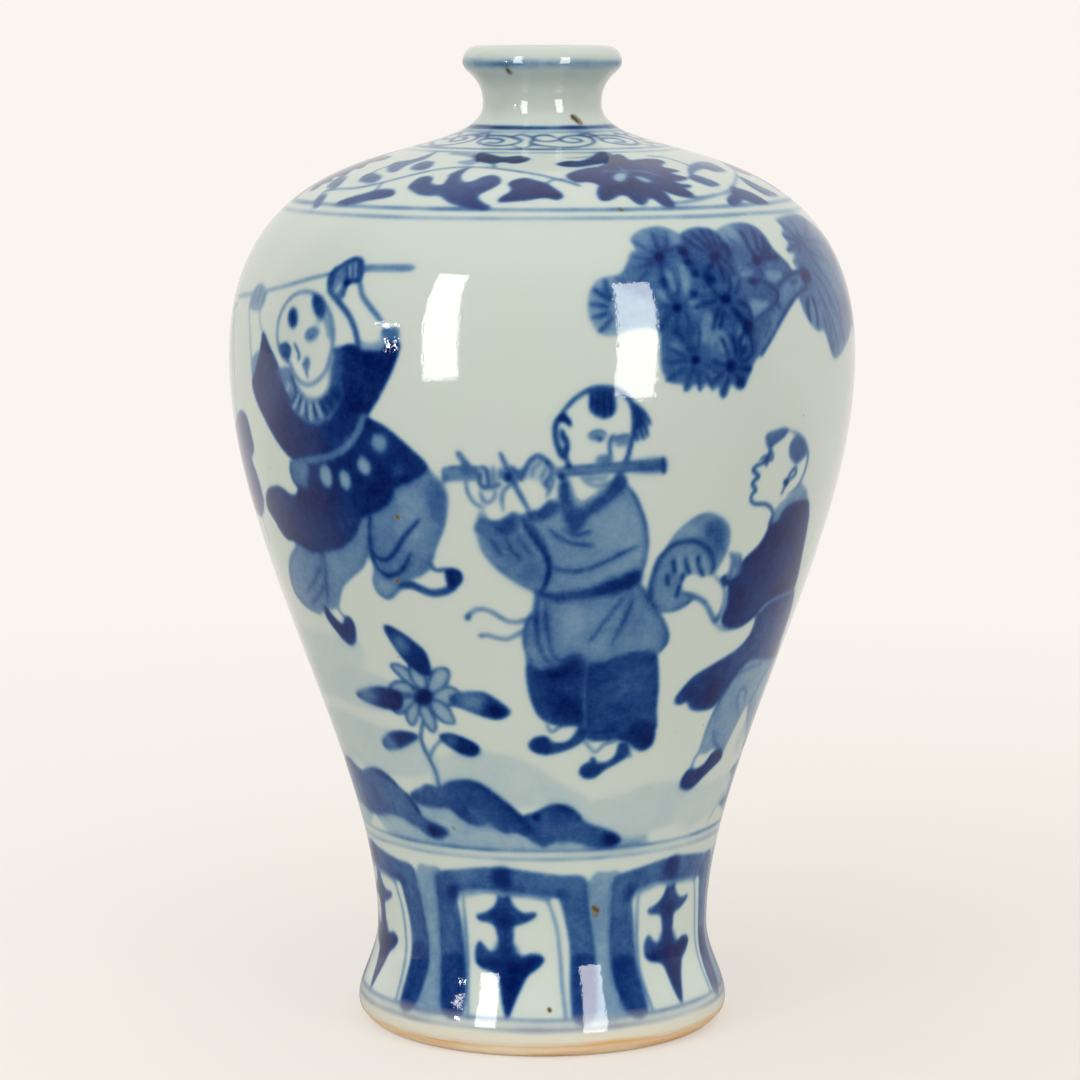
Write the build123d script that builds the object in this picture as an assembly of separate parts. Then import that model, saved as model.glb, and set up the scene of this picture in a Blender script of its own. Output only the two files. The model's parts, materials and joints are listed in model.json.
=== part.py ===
"""Meiping vase: three thrown porcelain sections luted together with slip, under a clear glaze.

The origin is at the middle of the foot, on the table, with +Z up the vase.
Every outline is drawn as (radius, height) in millimetres and turned about the vase's axis.
"""

import os
from math import asin, degrees, hypot

from build123d import *

# Radii of the clay wall at the stations where it stands upright
FOOT_RADIUS = 52.9
WAIST_RADIUS = 47.3
BELLY_RADIUS = 88.7
NECK_RADIUS = 16.4
LIP_RADIUS = 22.2

# Rises from one station to the next, from the table up
FOOT_RISE = 6.2
WAIST_RISE = 21.9
BELLY_RISE = 163.9
NECK_RISE = 71.8
LIP_RISE = 11.6
LIP_ROUND = 4.2

# Share of its rise over which the wall holds the upright direction of each station
FOOT_HOLD = 0.26
WAIST_HOLD_BELOW = 0.41
WAIST_HOLD_ABOVE = 0.295
BELLY_HOLD_BELOW = 0.33
BELLY_HOLD_ABOVE = 0.963
NECK_HOLD_BELOW = 0.275
NECK_HOLD_ABOVE = 0.70
LIP_HOLD = 0.25
MOUTH_HOLD = 0.55
FLOOR_HOLD = 0.7

# Foot ring and base
FOOT_UNDERCUT = 4.5
FOOT_RING_WIDTH = 6.0
FOOT_RING_SLOPE = 1.5
BASE_RECESS = 5.0
BASE_THICKNESS = 8.0

# Walls, seams and coats
WALL = 4.8
GLAZE = 0.4
GLAZE_LINE = 4.0
LUTE = 1.2
BELLY_SEAM = 150.0
NECK_SEAM = 256.0

# Points that carry each wall curve when it is set off to make a parallel one
OFFSET_POINTS = 28

FOOT = (FOOT_RADIUS, FOOT_RISE)
WAIST = (WAIST_RADIUS, FOOT[1] + WAIST_RISE)
BELLY = (BELLY_RADIUS, WAIST[1] + BELLY_RISE)
NECK = (NECK_RADIUS, BELLY[1] + NECK_RISE)
LIP = (LIP_RADIUS, NECK[1] + LIP_RISE)
LIP_TOP = (LIP_RADIUS - LIP_ROUND, LIP[1] + LIP_ROUND)
BORE = (NECK_RADIUS - WALL, NECK[1])
INNER_WAIST = (WAIST_RADIUS - WALL, WAIST[1])
FLOOR = (0.0, BASE_RECESS + BASE_THICKNESS)

# The foot is rounded by one arc, upright at the foot's widest line, down to the standing ring
STAND_RADIUS = FOOT_RADIUS - FOOT_UNDERCUT
FOOT_ROUND = hypot(FOOT_UNDERCUT, FOOT_RISE) ** 2 / (2 * FOOT_UNDERCUT)
FOOT_CENTRE = (FOOT_RADIUS - FOOT_ROUND, FOOT_RISE)
STAND_ANGLE = degrees(asin(FOOT_RISE / FOOT_ROUND))
GLAZE_ANGLE = degrees(asin((FOOT_RISE - GLAZE_LINE) / FOOT_ROUND))


def wall_curve(low, high, hold_low, hold_high):
    """The wall between two stations, upright at both."""
    rise = high[1] - low[1]
    return Bezier(
        low,
        (low[0], low[1] + hold_low * rise),
        (high[0], high[1] - hold_high * rise),
        high,
    )


def parallel(edge, distance):
    """The curve at a distance to the right of an edge, as seen along it."""
    steps = [i / (OFFSET_POINTS - 1) for i in range(OFFSET_POINTS)]
    points = []
    for step in steps:
        along = edge % step
        points.append(edge @ step + Vector(along.Y, -along.X) * distance)
    return Spline(points)


def turned(edges):
    """The solid of revolution of a closed outline."""
    return revolve(Plane.XZ * make_face(edges), axis=Axis.Z)


def between(low, high):
    """A slab that takes in the whole vase from one height to another."""
    width = 4 * BELLY_RADIUS
    return Pos(0, 0, (low + high) / 2) * Box(width, width, high - low)


# Clay surfaces, from the foot up the outside and from the mouth down the inside
foot_bare = CenterArc(FOOT_CENTRE, FOOT_ROUND, -STAND_ANGLE, STAND_ANGLE - GLAZE_ANGLE)
foot_glazed = CenterArc(FOOT_CENTRE, FOOT_ROUND, -GLAZE_ANGLE, GLAZE_ANGLE)
foot_wall = wall_curve(FOOT, WAIST, FOOT_HOLD, WAIST_HOLD_BELOW)
body_wall = wall_curve(WAIST, BELLY, WAIST_HOLD_ABOVE, BELLY_HOLD_BELOW)
shoulder_wall = wall_curve(BELLY, NECK, BELLY_HOLD_ABOVE, NECK_HOLD_BELOW)
neck_wall = wall_curve(NECK, LIP, NECK_HOLD_ABOVE, LIP_HOLD)
lip_round = CenterArc((LIP_TOP[0], LIP[1]), LIP_ROUND, 0, 90)
outside = [foot_glazed, foot_wall, body_wall, shoulder_wall, neck_wall, lip_round]

mouth = Bezier(
    LIP_TOP,
    (LIP_TOP[0] - MOUTH_HOLD * (LIP_TOP[0] - BORE[0]), LIP_TOP[1]),
    (BORE[0], BORE[1] + MOUTH_HOLD * (LIP_TOP[1] - BORE[1])),
    BORE,
)
shoulder_inside = parallel(shoulder_wall, -WALL)
body_inside = parallel(body_wall, -WALL)
floor = Bezier(
    INNER_WAIST,
    (INNER_WAIST[0], INNER_WAIST[1] - FLOOR_HOLD * (INNER_WAIST[1] - FLOOR[1])),
    (FLOOR_HOLD * INNER_WAIST[0], FLOOR[1]),
    FLOOR,
)

# Underside: the standing ring and the recessed base
ring_inner = STAND_RADIUS - FOOT_RING_WIDTH
recess_radius = ring_inner - FOOT_RING_SLOPE
base_under = Line((0, BASE_RECESS), (recess_radius, BASE_RECESS))
ring_inside = Line((recess_radius, BASE_RECESS), (ring_inner, 0))
ring_bottom = Line((ring_inner, 0), (STAND_RADIUS, 0))
base_axis = Line(FLOOR, (0, BASE_RECESS))

clay = turned(
    [base_under, ring_inside, ring_bottom, foot_bare, *outside]
    + [mouth, shoulder_inside, body_inside, floor, base_axis]
)


def thrown_sections():
    """The clay cut at its two seams into thrown sections and the slip that lutes them."""
    seam = LUTE / 2
    heights = [0, BELLY_SEAM - seam, BELLY_SEAM + seam, NECK_SEAM - seam, NECK_SEAM + seam]
    heights.append(LIP_TOP[1])
    names = ["lower_body", "belly_lute", "upper_body", "neck_lute", "neck_and_mouth"]
    return {name: clay & between(*span) for name, span in zip(names, zip(heights, heights[1:]))}


def outer_glaze():
    """The coat on the outside, from the bare foot over the lip."""
    skin = [CenterArc(FOOT_CENTRE, FOOT_ROUND + GLAZE, -GLAZE_ANGLE, GLAZE_ANGLE)]
    skin += [parallel(edge, GLAZE) for edge in (foot_wall, body_wall, shoulder_wall, neck_wall)]
    skin.append(CenterArc((LIP_TOP[0], LIP[1]), LIP_ROUND + GLAZE, 0, 90))
    lower_edge = Line(foot_glazed @ 0, skin[0] @ 0)
    upper_edge = Line(lip_round @ 1, skin[-1] @ 1)
    return turned([*outside, *skin, lower_edge, upper_edge])


def inner_glaze():
    """The coat on the inside, from the lip down to the floor."""
    clay_side = [mouth, shoulder_inside, body_inside, floor]
    inner_wall = -(WALL + GLAZE)
    skin = [
        parallel(mouth, GLAZE),
        parallel(shoulder_wall, inner_wall),
        parallel(body_wall, inner_wall),
        parallel(floor, GLAZE),
    ]
    rim = Line(mouth @ 0, skin[0] @ 0)
    axis = Line(floor @ 1, skin[-1] @ 1)
    return turned([*clay_side, *skin, rim, axis])


def base_glaze():
    """The coat on the recessed base, inside the bare standing ring."""
    edge_radius = recess_radius + FOOT_RING_SLOPE * GLAZE / BASE_RECESS
    return turned(
        [
            base_under,
            Line((recess_radius, BASE_RECESS), (edge_radius, BASE_RECESS - GLAZE)),
            Line((edge_radius, BASE_RECESS - GLAZE), (0, BASE_RECESS - GLAZE)),
            Line((0, BASE_RECESS - GLAZE), (0, BASE_RECESS)),
        ]
    )


os.makedirs("parts", exist_ok=True)
pieces = thrown_sections()
pieces["outer_glaze"] = outer_glaze()
pieces["inner_glaze"] = inner_glaze()
pieces["base_glaze"] = base_glaze()
for name, piece in pieces.items():
    export_step(piece, f"parts/{name}.step")
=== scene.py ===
"""Looks for the meiping vase: cobalt brush painting under a clear glaze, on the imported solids.

The painting is laid on a flat sheet of the vase's outside, one brush stroke after another, and the
glaze is built from that sheet in panels, with small faces where the paint changes.
"""

import json

import bpy
import numpy as np
from numpy.lib.stride_tricks import sliding_window_view
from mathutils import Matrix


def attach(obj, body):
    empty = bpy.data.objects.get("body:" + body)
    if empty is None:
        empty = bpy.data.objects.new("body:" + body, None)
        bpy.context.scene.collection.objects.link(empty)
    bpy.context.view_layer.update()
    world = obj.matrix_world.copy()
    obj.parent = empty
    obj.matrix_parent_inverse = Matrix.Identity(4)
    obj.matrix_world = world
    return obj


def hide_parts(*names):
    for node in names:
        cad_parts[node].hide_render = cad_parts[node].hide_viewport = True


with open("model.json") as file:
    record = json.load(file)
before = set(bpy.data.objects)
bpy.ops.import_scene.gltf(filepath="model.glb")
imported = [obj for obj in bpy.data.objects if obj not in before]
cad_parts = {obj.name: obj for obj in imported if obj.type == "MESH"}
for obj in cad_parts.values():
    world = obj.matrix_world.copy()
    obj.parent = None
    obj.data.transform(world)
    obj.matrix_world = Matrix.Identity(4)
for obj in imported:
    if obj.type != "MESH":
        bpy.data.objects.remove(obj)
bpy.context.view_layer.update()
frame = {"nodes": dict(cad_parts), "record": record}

# Camera: where the eye stands, and how the front view is laid out on a square of 1080 units
VIEW_SIZE = 1080
VIEW_AXIS = 542.2
VIEW_MIDDLE = 540.0
VIEW_FOCAL = 3860.23
EYE_DISTANCE = 1098.2
EYE_HEIGHT = 288.4
EYE_PITCH = 0.1351

# The painted sheet: the outside of the vase laid flat, in millimetres up the wall
CELL = 0.25
COLUMNS = 2240
UNIT = 0.2825
LEAST_RADIUS = 10.0

# How far before and behind the axis a line of sight is searched for the wall, in millimetres
SEARCH_BEFORE = 95
SEARCH_BEHIND = 25
SEARCH_STEP = 0.5

# How much a loaded line spreads, and how far cobalt bleeds at an edge in the firing, in millimetres
LINE_WEIGHT = 1.25
LINE_BLEED = 0.95
WASH_BLEED = 0.42
WASH_START = 0.10
WASH_RISE = 0.68
WASH_MARGIN = 2.5
POOL_REACH = 1.1
NEAR_CREEP = 0.42
FAR_CREEP = 1.15
FAR_SHARE = 0.34
RING_MARGIN = 2

# The brush: the share of a line that thins, how uneven its paint is and where a pine needle bends
TAPER_SHARE = 0.22
LINE_UNEVEN = 0.16
WASH_UNEVEN = 0.12
NEEDLE_STOPS = (0.1, 0.55, 1.0)
DAB_POINTS = 8
BLUR_REACH = 2.5

# Unevenness in layers: the share, the size in cells and the seed of each
BRUSH_CLOUDS = ((0.65, 40, 3), (0.4, 14, 4))
RING_DRIFT = ((1.0, 280, 0), (0.5, 80, 50))
RING_STRENGTH = ((0.2, 140, 90), (0.12, 35, 70))
RING_BODY = 0.85
RING_SWELL = 0.3

# Strengths of the cobalt, from bare glaze and a watery wash to a loaded brush
BARE = 0.02
FAINT = 0.16
PALE = 0.26
THIN = 0.34
SOFT = 0.43
MID = 0.53
FULL = 0.67
DEEP = 0.80
DARK = 0.91
BLACK = 1.0


def smooth_path(points, closed, steps=6):
    """A curve through given points, rounded between them."""
    points = np.asarray(points, float)
    if len(points) < 3:
        return points[0] + (points[-1] - points[0]) * np.linspace(0, 1, steps + 1)[:, None]
    if closed:
        before, after, last = np.roll(points, 1, 0), np.roll(points, -1, 0), np.roll(points, -2, 0)
        first = points
    else:
        first, after = points[:-1], points[1:]
        before = np.vstack([points[:1], points[:-2]])
        last = np.vstack([points[2:], points[-1:]])
    along = (np.arange(steps) / steps)[None, :, None]
    before, first, after, last = (p[:, None, :] for p in (before, first, after, last))
    curve = 0.5 * (
        2 * first
        + (after - before) * along
        + (2 * before - 5 * first + 4 * after - last) * along**2
        + (3 * first - before - 3 * after + last) * along**3
    )
    curve = curve.reshape(-1, 2)
    return curve if closed else np.vstack([curve, points[-1:]])


def blurred(field, across, up):
    """A field softened by the given spreads in cells."""
    for axis, spread in ((1, across), (0, up)):
        reach = int(np.ceil(BLUR_REACH * spread))
        if reach < 1:
            continue
        weights = np.exp(-0.5 * (np.arange(-reach, reach + 1) / spread) ** 2)
        weights /= weights.sum()
        pad = [(0, 0), (0, 0)]
        pad[axis] = (reach, reach)
        padded = np.pad(field, pad, mode="edge")
        size = field.shape[axis]
        field = sum(
            weight * (padded[:, i : i + size] if axis else padded[i : i + size])
            for i, weight in enumerate(weights)
        )
    return field


def cloudy(shape, size, seed):
    """Smooth random unevenness between -1 and 1 that joins up round the vase."""
    random = np.random.default_rng(seed)
    rows, columns = shape
    coarse = random.uniform(-1, 1, (rows // size + 3, columns // size))
    row = np.arange(rows) / size
    column = np.arange(columns) / size
    low_row, low_column = row.astype(int), column.astype(int)
    up, across = row - low_row, column - low_column
    up, across = up * up * (3 - 2 * up), across * across * (3 - 2 * across)
    wide = coarse.shape[1]
    left, right = coarse[:, low_column % wide], coarse[:, (low_column + 1) % wide]
    mixed_row = left + (right - left) * across
    return mixed_row[low_row] + (mixed_row[low_row + 1] - mixed_row[low_row]) * up[:, None]


def clouds(shape, layers, seed=0):
    """Layers of unevenness put together."""
    return sum(share * cloudy(shape, size, seed + own) for share, size, own in layers)


def eased(share):
    """A share held between 0 and 1, with soft ends."""
    share = np.clip(share, 0, 1)
    return share * share * (3 - 2 * share)


class Sheet:
    """The vase's outside laid flat: columns go round the axis, rows go up the wall.

    Strokes are placed as they look in the front view, or in the same view after the vase is turned.
    """

    def __init__(self, radius, height):
        steps = np.hypot(np.diff(radius), np.diff(height))
        arc = np.concatenate([[0], np.cumsum(steps)])
        self.arc = np.arange(0, arc[-1], CELL)
        self.radius = np.interp(self.arc, arc, radius)
        self.height = np.interp(self.arc, arc, height)
        shape = (len(self.arc), COLUMNS)
        self.paint = {"cobalt": np.zeros(shape, np.float32), "iron": np.zeros(shape, np.float32)}
        self.uneven = clouds(shape, BRUSH_CLOUDS)
        self.turn = 0.0
        self.mirror = False

    def place(self, points):
        """Azimuth in radians and distance up the wall of points in the front view."""
        points = np.asarray(points, float)
        across = (points[:, 0] - VIEW_AXIS) / VIEW_FOCAL
        if self.mirror:
            across = -across
        up = (VIEW_MIDDLE - points[:, 1]) / VIEW_FOCAL
        depth = np.arange(EYE_DISTANCE - SEARCH_BEFORE, EYE_DISTANCE + SEARCH_BEHIND, SEARCH_STEP)[:, None]
        x = depth * across
        y = -EYE_DISTANCE + depth * (np.cos(EYE_PITCH) + up * np.sin(EYE_PITCH))
        z = EYE_HEIGHT + depth * (up * np.cos(EYE_PITCH) - np.sin(EYE_PITCH))
        clear = np.hypot(x, y) - np.interp(z, self.height, self.radius)
        inside = clear < 0
        hit = np.where(inside.any(0), inside.argmax(0), clear.argmin(0))
        hit = np.maximum(hit, 1)
        columns = np.arange(len(points))
        outer, inner = clear[hit - 1, columns], clear[hit, columns]
        share = np.where(inner < 0, outer / np.maximum(outer - inner, 1e-9), 1.0)
        x, y, z = (v[hit - 1, columns] * (1 - share) + v[hit, columns] * share for v in (x, y, z))
        return np.arctan2(x, -y) + np.radians(self.turn), np.interp(z, self.height, self.arc)

    def up_wall(self, y):
        """How far up the wall a height on the front view's axis lies."""
        return self.place([(VIEW_AXIS, y)])[1][0]

    def read(self, pigment, angle, arc):
        """A pigment where columns at azimuths cross rows at distances up the wall."""
        field = self.paint[pigment]
        column = angle * COLUMNS / (2 * np.pi) + COLUMNS / 2
        row = np.clip(arc / CELL, 0, len(self.arc) - 1.001)
        left, low = np.floor(column).astype(int), row.astype(int)
        across, up = (column - left), (row - low)[:, None]
        left, right = left % COLUMNS, (left + 1) % COLUMNS
        lower = field[low][:, left] * (1 - across) + field[low][:, right] * across
        upper = field[low + 1][:, left] * (1 - across) + field[low + 1][:, right] * across
        return lower * (1 - up) + upper * up

    def patch(self, azimuth, arc, margin):
        """The cells around a stroke: row slice, column numbers and their azimuths and arcs."""
        low = max(int((arc.min() - margin) / CELL), 0)
        high = min(int((arc.max() + margin) / CELL) + 2, len(self.arc))
        radius = max(self.radius[low:high].min(), LEAST_RADIUS)
        reach = margin / radius
        step = 2 * np.pi / COLUMNS
        first = int(np.floor((azimuth.min() - reach) / step))
        last = int(np.ceil((azimuth.max() + reach) / step)) + 1
        numbers = np.arange(first, last)
        return slice(low, high), numbers, numbers * step, self.arc[low:high]

    def lay(self, pigment, rows, numbers, change):
        """Works a change into the cells of a patch, joined round the vase."""
        columns = (numbers + COLUMNS // 2) % COLUMNS
        field = self.paint[pigment]
        field[rows, columns] = change(field[rows, columns], self.uneven[rows, columns])

    def line(self, tone, width, points, taper=0.5, over=False, pigment="cobalt"):
        """A brush line, of a width in view units, thinner at its ends."""
        path = smooth_path(np.column_stack(self.place(points)), False)
        azimuth, arc = path[:, 0], path[:, 1]
        half = 0.5 * width * UNIT * LINE_WEIGHT
        rows, numbers, angles, arcs = self.patch(azimuth, arc, half + LINE_BLEED)
        middle = angles.mean()
        x = (angles[None, :] - middle) * self.radius[rows][:, None]
        y = arcs[:, None]
        path_x = (azimuth - middle) * np.interp(arc, self.arc, self.radius)
        along = np.linspace(0, 1, len(path_x))
        from_end = np.minimum(1, np.minimum(along, 1 - along) / TAPER_SHARE)
        body = half * (1 - taper * (1 - from_end) ** 2)
        nearest = np.full(np.broadcast(x, y).shape, np.inf)
        for i in range(len(path_x) - 1):
            dx, dy = path_x[i + 1] - path_x[i], arc[i + 1] - arc[i]
            share = ((x - path_x[i]) * dx + (y - arc[i]) * dy) / max(dx * dx + dy * dy, 1e-9)
            share = np.clip(share, 0, 1)
            away = np.hypot(x - path_x[i] - share * dx, y - arc[i] - share * dy)
            nearest = np.minimum(nearest, away - (body[i] + (body[i + 1] - body[i]) * share))
        cover = eased(0.5 - nearest / LINE_BLEED)

        def change(old, uneven):
            paint = tone * (1 + LINE_UNEVEN * uneven)
            return old * (1 - cover) + paint * cover if over else np.maximum(old, paint * cover)

        self.lay(pigment, rows, numbers, change)

    def wash(self, tone, points, soft=WASH_BLEED, pool=0.18):
        """A filled shape with a slightly darker rim, laid over what is there."""
        path = smooth_path(np.column_stack(self.place(points)), True)
        rows, numbers, angles, arcs = self.patch(path[:, 0], path[:, 1], WASH_MARGIN + 3 * soft)
        step = angles[1] - angles[0]
        cover = np.zeros((len(arcs), len(angles) + 1))
        after = np.roll(path, -1, 0)
        for (a0, s0), (a1, s1) in zip(path, after):
            low, high = min(s0, s1), max(s0, s1)
            crossed = np.nonzero((arcs >= low) & (arcs < high))[0]
            if len(crossed) == 0:
                continue
            at = a0 + (arcs[crossed] - s0) * (a1 - a0) / (s1 - s0)
            column = np.clip(np.ceil((at - angles[0]) / step).astype(int), 0, len(angles))
            cover[crossed, column] += 1
        cover = np.cumsum(cover, 1)[:, :-1] % 2
        wide = step * np.interp(path[:, 1].mean(), self.arc, self.radius)
        cover = blurred(cover, soft / wide, soft / CELL)
        rim = cover - blurred(cover, POOL_REACH / wide, POOL_REACH / CELL)
        cover = np.clip((cover - WASH_START) / WASH_RISE, 0, 1)

        def change(old, uneven):
            paint = tone * (1 + WASH_UNEVEN * uneven + 2 * pool * np.clip(rim, 0, 1))
            return old * (1 - cover) + paint * cover

        self.lay("cobalt", rows, numbers, change)

    def crept(self, spread):
        """The cobalt after it has crept some millimetres into the glaze."""
        waves = np.arange(COLUMNS // 2 + 1)
        kept = np.exp(-0.5 * (spread * waves / self.radius[:, None]) ** 2)
        around = np.fft.irfft(np.fft.rfft(self.paint["cobalt"], axis=1) * kept, COLUMNS, axis=1)
        return blurred(around, 0, spread / CELL)

    def fire(self):
        """Softens the painting as firing does: most cobalt creeps a little, and some of it further."""
        near, far = self.crept(NEAR_CREEP), self.crept(FAR_CREEP)
        self.paint["cobalt"] = near + FAR_SHARE * (far - near)

    def dab(self, tone, middle, width, tall, lean=0.0, **kind):
        """A round dab of the brush."""
        angle = np.linspace(0, 2 * np.pi, DAB_POINTS, endpoint=False)
        slant = np.radians(lean)
        along, side = 0.5 * tall * np.cos(angle), 0.5 * width * np.sin(angle)
        x = middle[0] + side * np.cos(slant) + along * np.sin(slant)
        y = middle[1] + side * np.sin(slant) - along * np.cos(slant)
        self.wash(tone, np.column_stack([x, y]), **kind)

    def ring(self, tone, top, bottom, seed, waver=0.2):
        """A painted line right round the vase, between two heights on the front view's axis."""
        arc = self.place([(VIEW_AXIS, top), (VIEW_AXIS, bottom)])[1]
        middle, half = arc.mean(), 0.5 * abs(arc[0] - arc[1])
        low = int((middle - half - RING_MARGIN) / CELL)
        high = min(int((middle + half + RING_MARGIN) / CELL), len(self.arc))
        shape = (3, COLUMNS)
        drift = waver * clouds(shape, RING_DRIFT, seed)[0]
        strength = 1 + clouds(shape, RING_STRENGTH, seed)[0]
        body = half * (RING_BODY + RING_SWELL * (strength - RING_BODY))
        away = np.abs(self.arc[low:high, None] - middle - drift) - body
        cobalt = self.paint["cobalt"]
        cobalt[low:high] = np.maximum(cobalt[low:high], tone * strength * eased(0.5 - away / LINE_BLEED))


def line(tone, width, *points, **kind):
    """A brush line, to be painted later."""
    return lambda sheet: sheet.line(tone, width, points, **kind)


def lines(tone, width, *paths, **kind):
    """Several like brush lines, to be painted later."""

    def stroke(sheet):
        for path in paths:
            sheet.line(tone, width, path, **kind)

    return stroke


def fans(tone, width, reach, count, *eyes):
    """Needles that spread from dark eyes, to be painted later."""
    turns = np.linspace(0, 2 * np.pi, count, endpoint=False)
    needles = reach * np.column_stack([np.cos(turns), np.sin(turns)])

    def stroke(sheet):
        for eye in eyes:
            for needle in needles:
                sheet.line(tone, width, [eye + stop * needle for stop in NEEDLE_STOPS])
            sheet.dab(tone, eye, 2 * width, 2 * width)

    return stroke


def wash(tone, *points, **kind):
    """A filled shape, to be painted later."""
    return lambda sheet: sheet.wash(tone, points, **kind)


def washes(tone, *shapes, **kind):
    """Several like filled shapes, to be painted later."""

    def stroke(sheet):
        for shape in shapes:
            sheet.wash(tone, shape, **kind)

    return stroke


def dab(tone, middle, width, tall, lean=0.0, **kind):
    """A round dab, to be painted later."""
    return lambda sheet: sheet.dab(tone, middle, width, tall, lean, **kind)


def outlined(tone, rim_tone, width, *shapes):
    """Filled shapes with a line round each, to be painted later."""

    def stroke(sheet):
        for shape in shapes:
            sheet.wash(tone, shape, pool=0.1)
            sheet.line(rim_tone, width, [*shape, shape[0]], taper=0.1)

    return stroke


def ring(tone, top, bottom, seed, **kind):
    """A line right round the vase, to be painted later."""
    return lambda sheet: sheet.ring(tone, top, bottom, seed, **kind)


def speck(strength, width, *points):
    """A streak of rust, to be painted later."""
    return lambda sheet: sheet.line(strength, width, points, taper=0.6, pigment="iron")


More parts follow.
